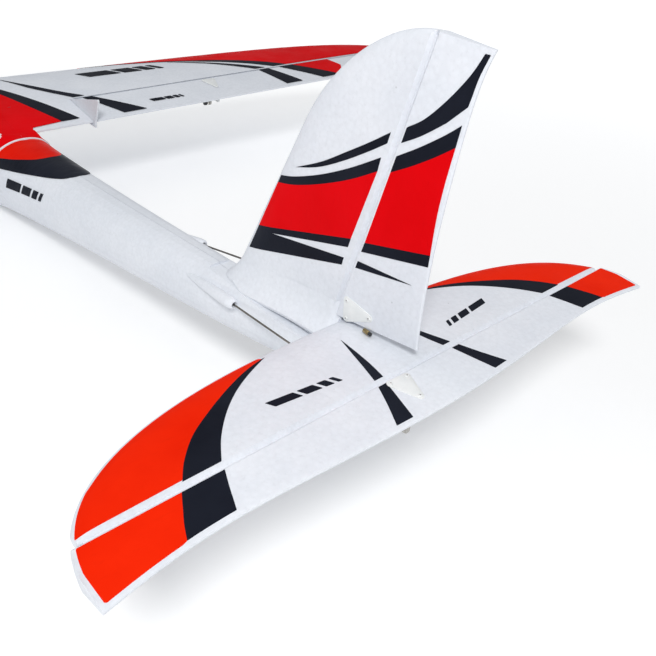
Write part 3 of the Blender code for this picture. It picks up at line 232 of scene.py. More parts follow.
def fuselage_point(y, turn):
    """Point of the fuselage skin; turn is 90 degrees at the crown and 0 at the widest point."""
    k = max(i for i in range(len(FUSELAGE) - 1) if FUSELAGE[i][0] <= y or i == 0)
    low, high = FUSELAGE[k], FUSELAGE[k + 1]
    t = (y - low[0]) / (high[0] - low[0])

    def slope(i, c):
        a, b = FUSELAGE[max(i - 1, 0)], FUSELAGE[min(i + 1, len(FUSELAGE) - 1)]
        return (b[c] - a[c]) / (b[0] - a[0]) * (high[0] - low[0])

    values = []
    for c in (1, 2, 3):
        value = (2 * t**3 - 3 * t**2 + 1) * low[c] + (t**3 - 2 * t**2 + t) * slope(k, c)
        values.append(value + (3 * t**2 - 2 * t**3) * high[c] + (t**3 - t**2) * slope(k + 1, c))
    half_width, bottom, top = values
    c, s = math.cos(turn), math.sin(turn)
    x = half_width * abs(c) ** (2 / ROUNDNESS)
    z = (bottom + top) / 2 + (top - bottom) / 2 * math.copysign(abs(s) ** (2 / ROUNDNESS), s)
    return Vector((math.copysign(x, c), y, z))


def deck_normal(y, turn):
    """Direction away from the fuselage skin, square to the fuselage's length."""
    a, b = fuselage_point(y, turn - 0.02), fuselage_point(y, turn + 0.02)
    return Vector((b.z - a.z, 0, a.x - b.x)).normalized()


# ---------------------------------------------------------------- materials
def new_material(name, roughness=0.5, metallic=0.0):
    made = bpy.data.materials.new(name)
    made.use_nodes = True
    tree = made.node_tree
    shader = tree.nodes["Principled BSDF"]
    shader.inputs["Roughness"].default_value = roughness
    shader.inputs["Metallic"].default_value = metallic
    where = tree.nodes.new("ShaderNodeTexCoord")
    return made, tree, shader, where.outputs["Object"]


def noise(tree, where, scale, detail=3.0, roughness=0.55, stretch=None):
    texture = tree.nodes.new("ShaderNodeTexNoise")
    texture.inputs["Scale"].default_value = scale
    texture.inputs["Detail"].default_value = detail
    texture.inputs["Roughness"].default_value = roughness
    if stretch:
        mapping = tree.nodes.new("ShaderNodeMapping")
        mapping.inputs["Scale"].default_value = stretch
        tree.links.new(where, mapping.inputs["Vector"])
        where = mapping.outputs["Vector"]
    tree.links.new(where, texture.inputs["Vector"])
    return texture.outputs["Fac"]


def ramp(tree, source, low, high, stops=(0.35, 0.65)):
    node = tree.nodes.new("ShaderNodeValToRGB")
    node.color_ramp.elements[0].position, node.color_ramp.elements[1].position = stops
    node.color_ramp.elements[0].color = (*low, 1)
    node.color_ramp.elements[1].color = (*high, 1)
    tree.links.new(source, node.inputs["Fac"])
    return node.outputs["Color"]


def grey(tree, source, low, high, stops=(0.3, 0.7)):
    return ramp(tree, source, (low,) * 3, (high,) * 3, stops)


def mix(tree, share, a, b, how="MULTIPLY"):
    node = tree.nodes.new("ShaderNodeMix")
    node.data_type = "RGBA"
    node.blend_type = how
    node.inputs["Factor"].default_value = share
    tree.links.new(a, node.inputs[6])
    tree.links.new(b, node.inputs[7])
    return node.outputs[2]


def bump(tree, shader, height, distance, strength=1.0, after=None):
    node = tree.nodes.new("ShaderNodeBump")
    node.inputs["Strength"].default_value = strength
    node.inputs["Distance"].default_value = distance
    tree.links.new(height, node.inputs["Height"])
    if after:
        tree.links.new(after, node.inputs["Normal"])
    tree.links.new(node.outputs["Normal"], shader.inputs["Normal"])
    return node.outputs["Normal"]


def cells(tree, where, scale, feature="F1"):
    texture = tree.nodes.new("ShaderNodeTexVoronoi")
    texture.feature = feature
    texture.inputs["Scale"].default_value = scale
    tree.links.new(where, texture.inputs["Vector"])
    return texture.outputs["Distance"]


def foam(name, low, high, bead=0.16):
    """Moulded bead foam: rounded beads a few millimetres wide, tiny pits, faint handling marks."""
    made, tree, shader, where = new_material(name, 0.5)
    domes = grey(tree, cells(tree, where, 360, "SMOOTH_F1"), 1.0, 0.0, (0.05, 0.75))
    patches = noise(tree, where, 22, 3)
    tone = ramp(tree, patches, low, high)
    tint = grey(tree, cells(tree, where, 360), 1.0, 0.93, (0.25, 0.75))
    colour = mix(tree, 0.55, tone, tint)
    specks = grey(tree, noise(tree, where, 520, 3, 0.7), 0.93, 1.0, (0.32, 0.46))
    colour = mix(tree, 0.7, colour, specks)
    pits = grey(tree, cells(tree, where, 70), 0.60, 1.0, (0.020, 0.040))
    colour = mix(tree, 0.6, colour, pits)
    tree.links.new(colour, shader.inputs["Base Color"])
    tree.links.new(grey(tree, noise(tree, where, 60), 0.44, 0.62), shader.inputs["Roughness"])
    shader.inputs["Specular IOR Level"].default_value = 0.35
    first = bump(tree, shader, domes, bead * MM, 0.6)
    second = bump(tree, shader, noise(tree, where, 800, 3, 0.6), 0.10 * MM, 0.5, first)
    bump(tree, shader, pits, 0.15 * MM, 0.6, second)
    return made


def film(name, low, high, gloss=0.30, shine=0.02, telegraph=0.06):
    """Printed vinyl over the foam: the beads show through faintly, with slack waves and a soft sheen."""
    made, tree, shader, where = new_material(name, gloss)
    tone = ramp(tree, noise(tree, where, 18, 4), low, high, (0.38, 0.66))
    scuffs = grey(tree, noise(tree, where, 120, 6, 0.7, (1, 6, 1)), 0.93, 1.0, (0.28, 0.42))
    tree.links.new(mix(tree, 0.8, tone, scuffs), shader.inputs["Base Color"])
    sheen = grey(tree, noise(tree, where, 45, 5), gloss - 0.06, gloss + 0.14)
    tree.links.new(sheen, shader.inputs["Roughness"])
    shader.inputs["Specular IOR Level"].default_value = shine
    beads = grey(tree, cells(tree, where, 330, "SMOOTH_F1"), 1.0, 0.0, (0.0, 0.7))
    first = bump(tree, shader, beads, telegraph * MM, 0.5)
    bump(tree, shader, noise(tree, where, 38, 4, 0.5, (1, 2.4, 1)), 1.2 * MM, 0.30, first)
    return made


def plain(name, low, high, roughness, metallic=0.0, grain=220, depth=0.03, stretch=None):
    """A moulded, drawn or turned finish: two close tones, grain and uneven gloss."""
    made, tree, shader, where = new_material(name, roughness, metallic)
    fine = noise(tree, where, grain, 5, 0.6, stretch)
    tree.links.new(ramp(tree, fine, low, high), shader.inputs["Base Color"])
    rough = grey(tree, noise(tree, where, grain * 2.3, 4), max(roughness - 0.08, 0.05), roughness + 0.10)
    tree.links.new(rough, shader.inputs["Roughness"])
    bump(tree, shader, fine, depth * MM, 0.4)
    return made


FOAM = foam("white_foam", (0.722, 0.752, 0.808), (0.772, 0.798, 0.848))
BLACK = film("black_film", (0.008, 0.0095, 0.016), (0.013, 0.0155, 0.025), 0.34, 0.035)
RED_TAIL = film("red_film_tail", (0.78, 0.015, 0.001), (0.86, 0.021, 0.002), 0.36)
RED_FIN = film("red_film_fin", (0.68, 0.0008, 0.003), (0.74, 0.0016, 0.005), 0.38)
RED_DECK = film("red_film_deck", (0.70, 0.006, 0.001), (0.78, 0.012, 0.002), 0.33)
NYLON = plain("white_nylon", (0.76, 0.78, 0.78), (0.82, 0.835, 0.83), 0.42, grain=160)
# The horn arms' nylon: white nylon darkened to a beige grey as painted shade, for the shadow the arms sit in
# under the surfaces.
SHADED_HORN_NYLON = plain("horn_nylon_painted_shade", (0.40, 0.385, 0.355), (0.50, 0.485, 0.45), 0.40, grain=160)
BLACK_NYLON = plain("black_nylon", (0.014, 0.014, 0.016), (0.030, 0.030, 0.033), 0.45)
WIRE = plain("steel_wire", (0.16, 0.145, 0.13), (0.30, 0.28, 0.26), 0.30, 1.0, 700, 0.02, (1, 0.08, 1))
STEEL = plain("steel", (0.50, 0.50, 0.51), (0.66, 0.66, 0.67), 0.28, 1.0, 500)
CONNECTOR = plain("nickel", (0.55, 0.53, 0.49), (0.72, 0.70, 0.66), 0.22, 1.0, 600)
BRASS = plain("brass", (0.30, 0.22, 0.10), (0.46, 0.36, 0.18), 0.30, 1.0, 500)
TUBE = plain("clear_tube", (0.66, 0.68, 0.68), (0.78, 0.79, 0.79), 0.30)
CARBON = plain("carbon", (0.012, 0.012, 0.014), (0.030, 0.030, 0.034), 0.33, 0.0, 420, 0.04, (6, 1, 1))
ALUMINIUM = plain("aluminium", (0.72, 0.72, 0.74), (0.80, 0.80, 0.82), 0.30, 1.0, 240, 0.002, (1, 9, 1))
MOTOR_STEEL = plain("motor_steel", (0.10, 0.10, 0.11), (0.20, 0.20, 0.22), 0.32, 1.0, 300, 0.003, (1, 9, 1))
COPPER = plain("copper_stator", (0.42, 0.17, 0.07), (0.62, 0.30, 0.14), 0.34, 0.9, 900, 0.10, (1, 7, 1))
WOOD = plain("plywood", (0.42, 0.27, 0.13), (0.66, 0.48, 0.28), 0.62, 0.0, 60, 0.08, (1, 0.12, 4))
CASE = plain("servo_case", (0.016, 0.017, 0.021), (0.034, 0.035, 0.041), 0.38)
BATTERY = plain("battery_wrap", (0.020, 0.028, 0.060), (0.040, 0.050, 0.090), 0.28, 0.0, 90, 0.10)
STRAP = plain("strap", (0.010, 0.010, 0.010), (0.040, 0.040, 0.042), 0.92, 0.0, 900, 0.25)
MAGNET = plain("magnet", (0.62, 0.62, 0.64), (0.74, 0.74, 0.76), 0.18, 1.0)

SLOTS = {
    "white_foam": FOAM, "white_nylon": NYLON, "black_nylon": BLACK_NYLON, "steel_wire": WIRE, "steel": STEEL,
    "clear_tube": TUBE, "carbon": CARBON, "aluminium": ALUMINIUM, "motor_steel": MOTOR_STEEL,
    "copper_stator": COPPER, "plywood": WOOD, "servo_case": CASE, "battery_wrap": BATTERY, "strap": STRAP,
    "magnet": MAGNET,
}
for part in frame["record"]["subparts"]:
    node = frame["nodes"][part["node"]]
    node.data.materials.clear()
    node.data.materials.append(SLOTS[part["material_slot"]])


# ---------------------------------------------------------------- mesh tools
def place_mesh(name, mesh, material, body, smooth_angle):
    """Links a finished mesh as an object; it rides on a body if one is given."""
    for polygon in mesh.polygons:
        polygon.use_smooth = True
    mesh.set_sharp_from_angle(angle=math.radians(smooth_angle))
    mesh.materials.append(material)
    item = bpy.data.objects.new(name, mesh)
    bpy.context.scene.collection.objects.link(item)
    if body:
        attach(item, body)
    return item


def make(name, points, faces, material, body, smooth_angle=40):
    """A closed solid from its points and faces."""
    mesh = bpy.data.meshes.new(name)
    mesh.from_pydata([tuple(p) for p in points], [], faces)
    box = bmesh.new()
    box.from_mesh(mesh)
    bmesh.ops.recalc_face_normals(box, faces=box.faces)
    box.to_mesh(mesh)
    box.free()
    return place_mesh(name, mesh, material, body, smooth_angle)


def loft(name, rings, material, body, smooth_angle=40):
    """A closed solid through rings of equally many points, capped at both ends."""
    count = len(rings[0])
    points = [p for ring in rings for p in ring]
    faces = []
    for i in range(len(rings) - 1):
        for j in range(count):
            k = (j + 1) % count
            faces.append((i * count + j, i * count + k, (i + 1) * count + k, (i + 1) * count + j))
    last = (len(rings) - 1) * count
    faces.append(tuple(range(count)))
    faces.append(tuple(range(last, last + count)))
    return make(name, points, faces, material, body, smooth_angle)


def curve(points, steps=8):
    """A smooth line through a few points."""
    points = [Vector(p) for p in points]
    line = []
    for i in range(len(points) - 1):
        a, b = points[max(i - 1, 0)], points[i]
        c, d = points[i + 1], points[min(i + 2, len(points) - 1)]
        for k in range(steps):
            t = k / steps
            bend, twist = 2 * a - 5 * b + 4 * c - d, 3 * b - a - 3 * c + d
            line.append(0.5 * (2 * b + (c - a) * t + bend * t**2 + twist * t**3))
    line.append(points[-1])
    return line


def rounded(points, radius):
    """A closed outline with its sharp corners rounded off."""
    count = len(points)
    result = []
    for i in range(count):
        before, here, after = points[i - 1], points[i], points[(i + 1) % count]
        a, b = (before - here), (after - here)
        if a.length < 1e-7 or b.length < 1e-7:
            continue
        if a.angle(b) > math.radians(140):
            result.append(here)
            continue
        reach = min(radius, a.length * 0.45, b.length * 0.45)
        start, end = here + a.normalized() * reach, here + b.normalized() * reach
        for k in range(5):
            t = k / 4
            result.append(start * (1 - t) ** 2 + here * 2 * t * (1 - t) + end * t**2)
    return result


def inside(point, outline):
    """Whether a point lies within a closed outline."""
    odd = False
    for i in range(len(outline)):
        a, b = outline[i - 1], outline[i]
        if (a.y > point.y) != (b.y > point.y):
            if point.x < (b.x - a.x) * (point.y - a.y) / (b.y - a.y) + a.x:
                odd = not odd
    return odd


def near(point, outline, reach):
    """Whether a point lies closer to a closed outline than reach."""
    for i in range(len(outline)):
        a, b = outline[i - 1], outline[i]
        foot, share = intersect_point_line(point, a, b)
        foot = a if share < 0 else b if share > 1 else foot
        if (Vector(foot[:2]) - point).length < reach:
            return True
    return False


def sheet(name, outline, place, material, body, spacing=3.0, corner=0.6, outward=(0, 0, 1)):
    """A printed film cut to an outline in millimetres, laid on the surface place(a, b), in metres."""
    dense = []
    outline = rounded([Vector(p) for p in outline], corner)
    for i in range(len(outline)):
        a, b = outline[i - 1], outline[i]
        pieces = max(1, math.ceil((b - a).length / (spacing * 0.7)))
        dense += [a.lerp(b, k / pieces) for k in range(pieces)]
    clean = [p for i, p in enumerate(dense) if (p - dense[i - 1]).length > 0.02]
    low = Vector((min(p.x for p in clean), min(p.y for p in clean)))
    high = Vector((max(p.x for p in clean), max(p.y for p in clean)))
    inner = []
    for i in range(int((high.x - low.x) / spacing) + 1):
        for j in range(int((high.y - low.y) / spacing) + 1):
            p = low + Vector((i + 0.5 + 0.25 * (j % 2), j + 0.5)) * spacing
            if inside(p, clean) and not near(p, clean, spacing * 0.4):
                inner.append(p)
    found = delaunay_2d_cdt(clean + inner, [], [list(range(len(clean)))], 1, 1e-4)
    points = [place(p.x * MM, p.y * MM) for p in found[0]]
    return film_mesh(name, points, [tuple(f) for f in found[2]], material, body, outward)


def film_mesh(name, points, faces, material, body, outward):
    """An open skin facing outward, with its cut edge turned down onto the surface below."""
    mesh = bpy.data.meshes.new(name)
    mesh.from_pydata([tuple(p) for p in points], [], faces)
    box = bmesh.new()
    box.from_mesh(mesh)
    bmesh.ops.delete(box, geom=[v for v in box.verts if not v.link_faces], context="VERTS")
    box.normal_update()
    facing = sum((f.normal * f.calc_area() for f in box.faces), Vector())
    if facing.dot(Vector(outward)) < 0:
        bmesh.ops.reverse_faces(box, faces=box.faces)
        box.normal_update()
    rim = [edge for edge in box.edges if edge.is_boundary]
    lowered = {}
    for edge in rim:
        for corner in edge.verts:
            if corner not in lowered:
                lowered[corner] = corner.co - corner.normal * LIFT * 1.2
    lowered = {corner: box.verts.new(spot) for corner, spot in lowered.items()}
    for edge in rim:
        loop = edge.link_loops[0]
        a, b = loop.vert, loop.link_loop_next.vert
        box.faces.new((b, a, lowered[a], lowered[b]))
    box.to_mesh(mesh)
    box.free()
    return place_mesh(name, mesh, material, body, 40)


# ---------------------------------------------------------------- tail surfaces
NOSE_STEPS = 22
EDGE_STEPS = (1.0, 0.6, 0.3, 0.1, 0.0)


def spread(count):
    """Spanwise shares from -1 to 1, closer together towards the tips."""
    return [math.sin(math.pi / 2 * i / count) for i in range(-count, count + 1)]


def fixed_stations(front, rear, reach):
    """Chordwise positions on a fixed surface: closer together at its round nose and in its groove."""
    turns = [math.pi / 2 * i / NOSE_STEPS for i in range(NOSE_STEPS + 1)]
    ys = [front + (rear - front) * (1 - math.cos(turn)) for turn in turns]
    ys = [y for y in ys if y < rear - reach - 0.1 * MM]
    ys += [front] * (NOSE_STEPS + 1 - len(ys)) + [rear - reach * k * MM / GROOVE for k in GROOVE_STEPS]
    return sorted(ys)


def build_stabilizer():
    rings = []
    rear = ELEVATOR_HINGE_Y - HINGE_GAP
    for s in spread(44):
        x = STAB_TIP_X * s
        front = tail_front_y(x)
        ys = fixed_stations(front, rear, GROOVE)
        top = [Vector((x, y, TAIL_Z + plate_half(y, front, rear))) for y in ys]
        rings.append(top + [Vector((x, p.y, 2 * TAIL_Z - p.z)) for p in reversed(top)])
    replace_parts(loft("stabilizer_foam", rings, FOAM, "fuselage", 30), "stabilizer")


def build_elevator():
    rings = []
    for s in spread(48):
        x = (TAIL_HALF_SPAN - 0.2 * MM) * s
        front = max(ELEVATOR_HINGE_Y, tail_front_y(x) - HINGE_GAP) + HINGE_GAP
        rear = tail_rear_y(x)
        reach = min(1.0, (rear - front) / 3 / GROOVE)
        ys = [front + reach * k * MM for k in GROOVE_STEPS]
        ys += [front + (rear - front) * k for k in (0.4, 0.55, 0.7, 0.85)]
        ys += [rear - EDGE_ROUND * k for k in EDGE_STEPS]
        ys = sorted(ys)
        top = [Vector((x, y, TAIL_Z + flap_half(y, front, rear))) for y in ys]
        rings.append(top + [Vector((x, p.y, 2 * TAIL_Z - p.z)) for p in reversed(top)])
    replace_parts(loft("elevator_foam", rings, FOAM, "elevator", 30), "elevator")


def build_fin():
    rings = []
    heights = [FIN_FOOT_Z + (FIN_ARC_Z - FIN_FOOT_Z) * (i / 34) ** 1.2 for i in range(35)]
    arc = (FIN_TOP_Z - FIN_ARC_Z) * 0.9985
    heights += [FIN_ARC_Z + arc * math.sin(math.pi / 2 * i / 26) for i in range(1, 27)]
    for z in heights:
        wide, forward = fin_foot(z)
        front, rear = fin_front_y(z) - forward, fin_hinge_y(z) - HINGE_GAP
        ys = fixed_stations(front, rear, min(GROOVE, (rear - front) / 3))
        side = [Vector((plate_half(y, front, rear) * wide, y, z)) for y in ys]
        rings.append(side + [Vector((-p.x, p.y, p.z)) for p in reversed(side)])
    made = loft("vertical_fin_foam", rings, FOAM, None, 30)
    seat = [Vector((x, y, z)) for x in (-0.02, 0.02) for y in (STAB_SEAT_Y, 0.6)
            for z in (FIN_FOOT_Z - 0.01, TAIL_Z + TAIL_HALF + 0.3 * MM)]
    sides = [(0, 1, 3, 2), (4, 6, 7, 5), (0, 4, 5, 1), (2, 3, 7, 6), (0, 2, 6, 4), (1, 5, 7, 3)]
    apply_cut(made, make("stab_room", seat, sides, FOAM, None))
    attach(made, "fuselage")
    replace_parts(made, "vertical_fin")


def apply_cut(item, cutter):
    """Takes one solid out of another."""
    step = item.modifiers.new("cut", "BOOLEAN")
    step.operation = "DIFFERENCE"
    step.solver = "EXACT"
    step.object = cutter
    bpy.context.view_layer.update()
    graph = bpy.context.evaluated_depsgraph_get()
    mesh = bpy.data.meshes.new_from_object(item.evaluated_get(graph))
    item.modifiers.clear()
    item.data = mesh
    bpy.data.objects.remove(cutter)


def build_rudder():
    rings = []
    for i in range(61):
        share = i / 60
        _, _, front, rear = rudder_place(share, 0)
        alongs = [MM / (rear - front) * k for k in GROOVE_STEPS] + [0.25, 0.4, 0.55, 0.7, 0.85]
        alongs = sorted(alongs + [1 - EDGE_ROUND / (rear - front) * k for k in EDGE_STEPS])
        side = []
        for along in alongs:
            y, z, _, _ = rudder_place(share, along)
            side.append(Vector((flap_half(y, front, rear), y, z)))
        rings.append(side + [Vector((-p.x, p.y, p.z)) for p in reversed(side)])
    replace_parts(loft("rudder_foam", rings, FOAM, "rudder", 30), "rudder")


build_stabilizer()
build_elevator()
build_fin()
build_rudder()


def hinge_skins():
    """The foam left uncut at the bottom of the grooves along the elevator's and the rudder's hinges; here it
    rides on the fuselage.
    """
    wide, deep = SKIN_HALF, SKIN_DEEP
    corners = ((-wide, deep), (wide, deep), (wide, -deep), (-wide, -deep))
    rings = []
    for i in range(25):
        x = -SKIN_END_X + 2 * SKIN_END_X * i / 24
        rings.append([Vector((x, ELEVATOR_HINGE_Y + a * MM, TAIL_Z + b * MM)) for a, b in corners])
    loft("elevator_hinge_skin", rings, FOAM, "fuselage", 50)
    rings = []
    for i in range(25):
        z = SKIN_FOOT_Z + (FIN_TOP_Z - SKIN_FOOT_Z - 2 * MM) * i / 24
        rings.append([Vector((b * MM, fin_hinge_y(z) + a * MM, z)) for a, b in corners])
    loft("rudder_hinge_skin", rings, FOAM, "fuselage", 50)


hinge_skins()


# ---------------------------------------------------------------- printed films of the tail
def on_stabilizer(x, y):
    front, rear = tail_front_y(x), ELEVATOR_HINGE_Y - HINGE_GAP
    return Vector((x, y, TAIL_Z + plate_half(y, front, rear) + LIFT))


def on_elevator(x, y):
    front = max(ELEVATOR_HINGE_Y, tail_front_y(x) - HINGE_GAP) + HINGE_GAP
    return Vector((x, y, TAIL_Z + flap_half(y, front, tail_rear_y(x)) + LIFT))


def both(name, outline, place, material, body, spacing=3.0, corner=0.6):
    """The same film to port and to starboard."""
    sheet(f"{name}_left", outline, place, material, body, spacing, corner)
    mirrored = [Vector((-p[0], p[1])) for p in reversed(outline)]
    sheet(f"{name}_right", mirrored, place, material, body, spacing, corner)


def tail_edge(start, end, margin, count=24):
    """The tailplane's leading edge moved in by a margin, from x = start to x = end, in millimetres."""
    line = []
    for i in range(count + 1):
        x = start + (end - start) * i / count
        y = tail_front_y(x * MM) / MM
        slope = (tail_front_y((x + 0.1) * MM) - tail_front_y((x - 0.1) * MM)) / (0.2 * MM)
        normal = Vector((-slope, 1)).normalized()
        line.append(Vector((x, y)) + normal * margin)
    return line


def tip_edge(start, end, margin, count=14):
    """The rounded tip moved in by a margin, from y = start to y = end, in millimetres."""
    line = []
    for i in range(count + 1):
        y = start + (end - start) * i / count
        aft = ((TAIL_Y / MM - y) * MM / TAIL_CHORD) ** (1 / TAIL_FRONT_ROOT)
        share = (1 - aft) ** (1 / TAIL_FRONT_POWER)
        x = min(share * (TAIL_HALF_SPAN / MM + 1), TAIL_HALF_SPAN / MM - 0.2)
        line.append(Vector((x - margin, y)))
    return line


def rear_edge(start, end, margin, count=16):
    """The elevator's rear edge moved in by a margin, from x = start to x = end, in millimetres."""
    xs = [start + (end - start) * i / count for i in range(count + 1)]
    return [Vector((x, rear_at(x, margin))) for x in xs]


def rear_at(x, margin):
    return tail_rear_y(x * MM) / MM - margin


STAB_END = 537.2
red_black = curve([(136.4, STAB_END), (129.4, 528.3), (118.6, 518.4), (105.6, 510.5), (88.0, 501.6),
                   (72.6, 495.2), (59.5, 491.4)])
black_white = curve([(118.0, STAB_END), (109.6, 525.9), (98.6, 514.9), (86.5, 505.8), (73.0, 498.3),
                     (57.5, 491.2)])
red = tail_edge(61.0, 162.0, 1.7) + tip_edge(519.0, STAB_END, 1.9)
both("stab_red", red + red_black[1:], on_stabilizer, RED_TAIL, "fuselage", 2.0, 2.0)
both("stab_black", red_black[::-1] + black_white, on_stabilizer, BLACK, "fuselage", 2.5, 0.3)

FLAP_START = 541.4
red_black = curve([(139.6, FLAP_START), (143.6, 548.0), (147.3, 554.2), (150.2, rear_at(150.2, 2.4))])
black_white = curve([(119.6, FLAP_START), (123.4, 549.4), (126.0, 555.5), (127.8, rear_at(127.8, 2.4))])
tip = tip_edge(FLAP_START, 564.6, 1.9)
outline = red_black + rear_edge(152.5, 184.2, 1.9) + tip[::-1]
both("elevator_red", outline, on_elevator, RED_TAIL, "elevator", corner=1.6)
both("elevator_black", black_white + rear_edge(130.0, 148.0, 2.4) + red_black[::-1],
     on_elevator, BLACK, "elevator", 2.5, 0.3)
spike = curve([(17.5, 503.0), (21.3, 514.5), (25.0, 526.0), (28.9, STAB_END)])
spike += curve([(23.0, STAB_END), (20.6, 527.0), (18.8, 515.0), (17.5, 503.0)])[:-1]
both("stab_spike", spike, on_stabilizer, BLACK, "fuselage", 2.0, 0.2)
spike = curve([(30.8, FLAP_START), (36.0, 552.0), (42.6, rear_at(42.6, 2.6))])
spike += curve([(32.0, rear_at(32.0, 2.6)), (28.6, 553.0), (25.2, FLAP_START)])
both("elevator_spike", spike, on_elevator, BLACK, "elevator", 2.0, 0.2)


def on_fin(side):
    """The fin's port face for side = 1, its starboard face for side = -1."""
    def place(y, z):
        front, rear = fin_front_y(z), fin_hinge_y(z) - HINGE_GAP
        return Vector((side * (plate_half(y, front, rear) + LIFT), y, z))
    return place


def on_rudder(side):
    return lambda y, z: Vector((side * (rudder_half_at(y, z) + LIFT), y, z))


def fin_films(name, outline, where, material, body, spacing=3.0, corner=0.5):
    """The same film on the port and the starboard face."""
    sheet(f"{name}_left", outline, where(1), material, body, spacing, corner, (1, 0, 0))
    sheet(f"{name}_right", outline, where(-1), material, body, spacing, corner, (-1, 0, 0))


band_top = curve([(432.4, 154.2), (446.0, 158.4), (463.6, 165.7), (482.0, 175.3), (500.0, 186.4)])
band_foot = curve([(430.4, 149.6), (446.3, 153.9), (464.3, 160.9), (482.9, 169.8), (499.0, 179.4)])
red_foot = [Vector((417.4, 119.4)), Vector((488.4, 140.8))]
fin_films("fin_band", band_top + band_foot[::-1], on_fin, BLACK, "fuselage", 2.5, 0.3)
fin_films("fin_red", band_foot + red_foot[::-1], on_fin, RED_FIN, "fuselage", 2.0, 0.2)
spike = curve([(444.5, 162.9), (462.6, 171.9), (478.3, 181.9), (491.8, 190.8), (503.4, 199.0)])
spike += curve([(502.3, 193.6), (493.2, 187.3), (477.4, 177.3), (461.0, 168.6), (444.5, 162.9)])[:-1]
fin_films("fin_spike", spike, on_fin, BLACK, "fuselage", 2.0, 0.2)
low = red_foot + [Vector(p) for p in ((487.2, 135.6), (429.8, 119.6), (485.4, 129.0), (484.6, 124.6),
                                      (410.2, 102.6))]
fin_films("fin_low", low, on_fin, BLACK, "fuselage", 2.5, 0.2)

upper = curve([(511.6, 203.6), (519.9, 209.6), (529.0, 219.8), (537.2, 231.4), (542.0, 241.0)])
upper += curve([(544.4, 241.0), (541.4, 232.0), (539.8, 223.5), (539.0, 219.6)])
upper += curve([(530.6, 210.8), (519.6, 202.1), (509.9, 196.1)])
fin_films("rudder_sweep", upper, on_rudder, BLACK, "rudder", 2.5, 0.3)
band_top = curve([(508.4, 189.6), (520.0, 197.4), (531.0, 205.8), (538.0, 212.0)])
band_foot = curve([(506.5, 181.4), (516.7, 187.5), (528.0, 195.2), (537.0, 202.2)])
fin_films("rudder_band", band_top + band_foot[::-1], on_rudder, BLACK, "rudder", 2.5, 0.3)
red_foot = [Vector((497.5, 142.4)), Vector((535.0, 151.2))]
sides = curve([(537.0, 202.2), (535.4, 186.0), (534.6, 170.0), (535.0, 151.2)])
fin_films("rudder_red", band_foot + sides[1:] + [red_foot[0]], on_rudder, RED_FIN, "rudder", 3.5, 0.2)
low = red_foot + [Vector((535.1, 145.2)), Vector((496.1, 136.9))]
fin_films("rudder_low", low, on_rudder, BLACK, "rudder", 2.5, 0.2)
spike = [Vector((494.8, 131.2)), Vector((528.2, 132.6)), Vector((493.8, 127.0))]
fin_films("rudder_spike", spike, on_rudder, BLACK, "rudder", 2.5, 0.2)


# ---------------------------------------------------------------- printed films of the wing and the deck
def on_wing(x, y):
    return Vector((x, y, wing_top(x, y) + 2.6 * LIFT))


def wing_nose(start, end, margin, count=24):
    xs = [start + (end - start) * i / count for i in range(count + 1)]
    return [Vector((x, wing_front_y(x * MM) / MM + margin)) for x in xs]


HINGE_LINE, FLAP_LINE = 58.0, 61.8    # where the films stop ahead of and behind the aileron's hinge
REAR, CENTRE_REAR = 98.6, 95.4
stripe_out = curve([(0.02, -33.0), (9.5, -8.0), (22.3, 19.4), (34.2, 43.6), (45.9, 67.2),
                    (59.3, CENTRE_REAR)])
stripe_in = curve([(0.02, -12.0), (8.0, 6.5), (17.1, 30.9), (26.8, 58.8), (34.0, 77.0), (41.9, CENTRE_REAR)])
centre = stripe_in + [Vector((15.0, 97.4)), Vector((12.2, 102.3)), Vector((0.02, 102.3))]
both("wing_centre_red", centre, on_wing, RED_FIN, "fuselage", 4.0, 0.5)
both("wing_centre_black", stripe_out + stripe_in[::-1], on_wing, BLACK, "fuselage", 3.0, 0.3)
spike = curve([(32.6, -14.0), (42.0, 6.0), (54.9, 25.8), (69.8, 44.4), (84.5, HINGE_LINE)])
spike += curve([(73.2, HINGE_LINE), (59.2, 41.8), (45.2, 20.8), (32.6, -14.0)])[:-1]
both("wing_spike", spike, on_wing, BLACK, "fuselage", 2.5, 0.2)
edge = curve([(122.0, -26.6), (160.0, -15.8), (199.0, -3.6), (235.4, 8.3), (275.0, 23.4), (311.0, 41.6),
              (335.6, HINGE_LINE)])
gap_edge = curve([(122.0, -26.6), (160.0, -15.3), (199.0, -2.7), (233.0, 10.6), (270.4, 28.6), (294.7, 42.6),
                  (316.6, HINGE_LINE)])
nose = wing_nose(124.0, 536.0, 4.4, 44) + [Vector((544.0, 46.0)), Vector((550.0, 64.0))]
tip = [Vector((552.0, 82.0)), Vector((551.0, REAR)), Vector((499.5, REAR)), Vector((499.0, HINGE_LINE))]
both("wing_outer_red", nose + tip + edge[::-1], on_wing, RED_FIN, "fuselage", 4.0, 1.0)
both("wing_outer_black", edge + gap_edge[::-1], on_wing, BLACK, "fuselage", 3.0, 0.2)
spike = curve([(211.0, 5.4), (233.0, 14.8), (258.0, 28.0), (281.0, 42.2), (304.6, HINGE_LINE)])
spike += curve([(291.0, HINGE_LINE), (274.3, 44.6), (253.0, 28.8), (231.0, 15.6), (211.0, 5.4)])[:-1]
both("wing_thin_black", spike, on_wing, BLACK, "fuselage", 2.5, 0.2)
aileron_films = {
    "inner": (BLACK, [(90.0, FLAP_LINE), (108.0, 80.0), (126.5, REAR), (102.4, REAR), (90.6, 78.0),
                      (80.6, FLAP_LINE)]),
    "second": (BLACK, [(292.6, FLAP_LINE), (306.2, FLAP_LINE), (326.0, REAR), (303.0, REAR)]),
    "main": (BLACK, [(322.0, FLAP_LINE), (341.6, FLAP_LINE), (385.0, REAR), (358.0, REAR)]),
    "red": (RED_FIN, [(341.8, FLAP_LINE), (397.0, FLAP_LINE), (403.0, 80.0), (393.0, 92.0), (385.2, REAR)]),
}
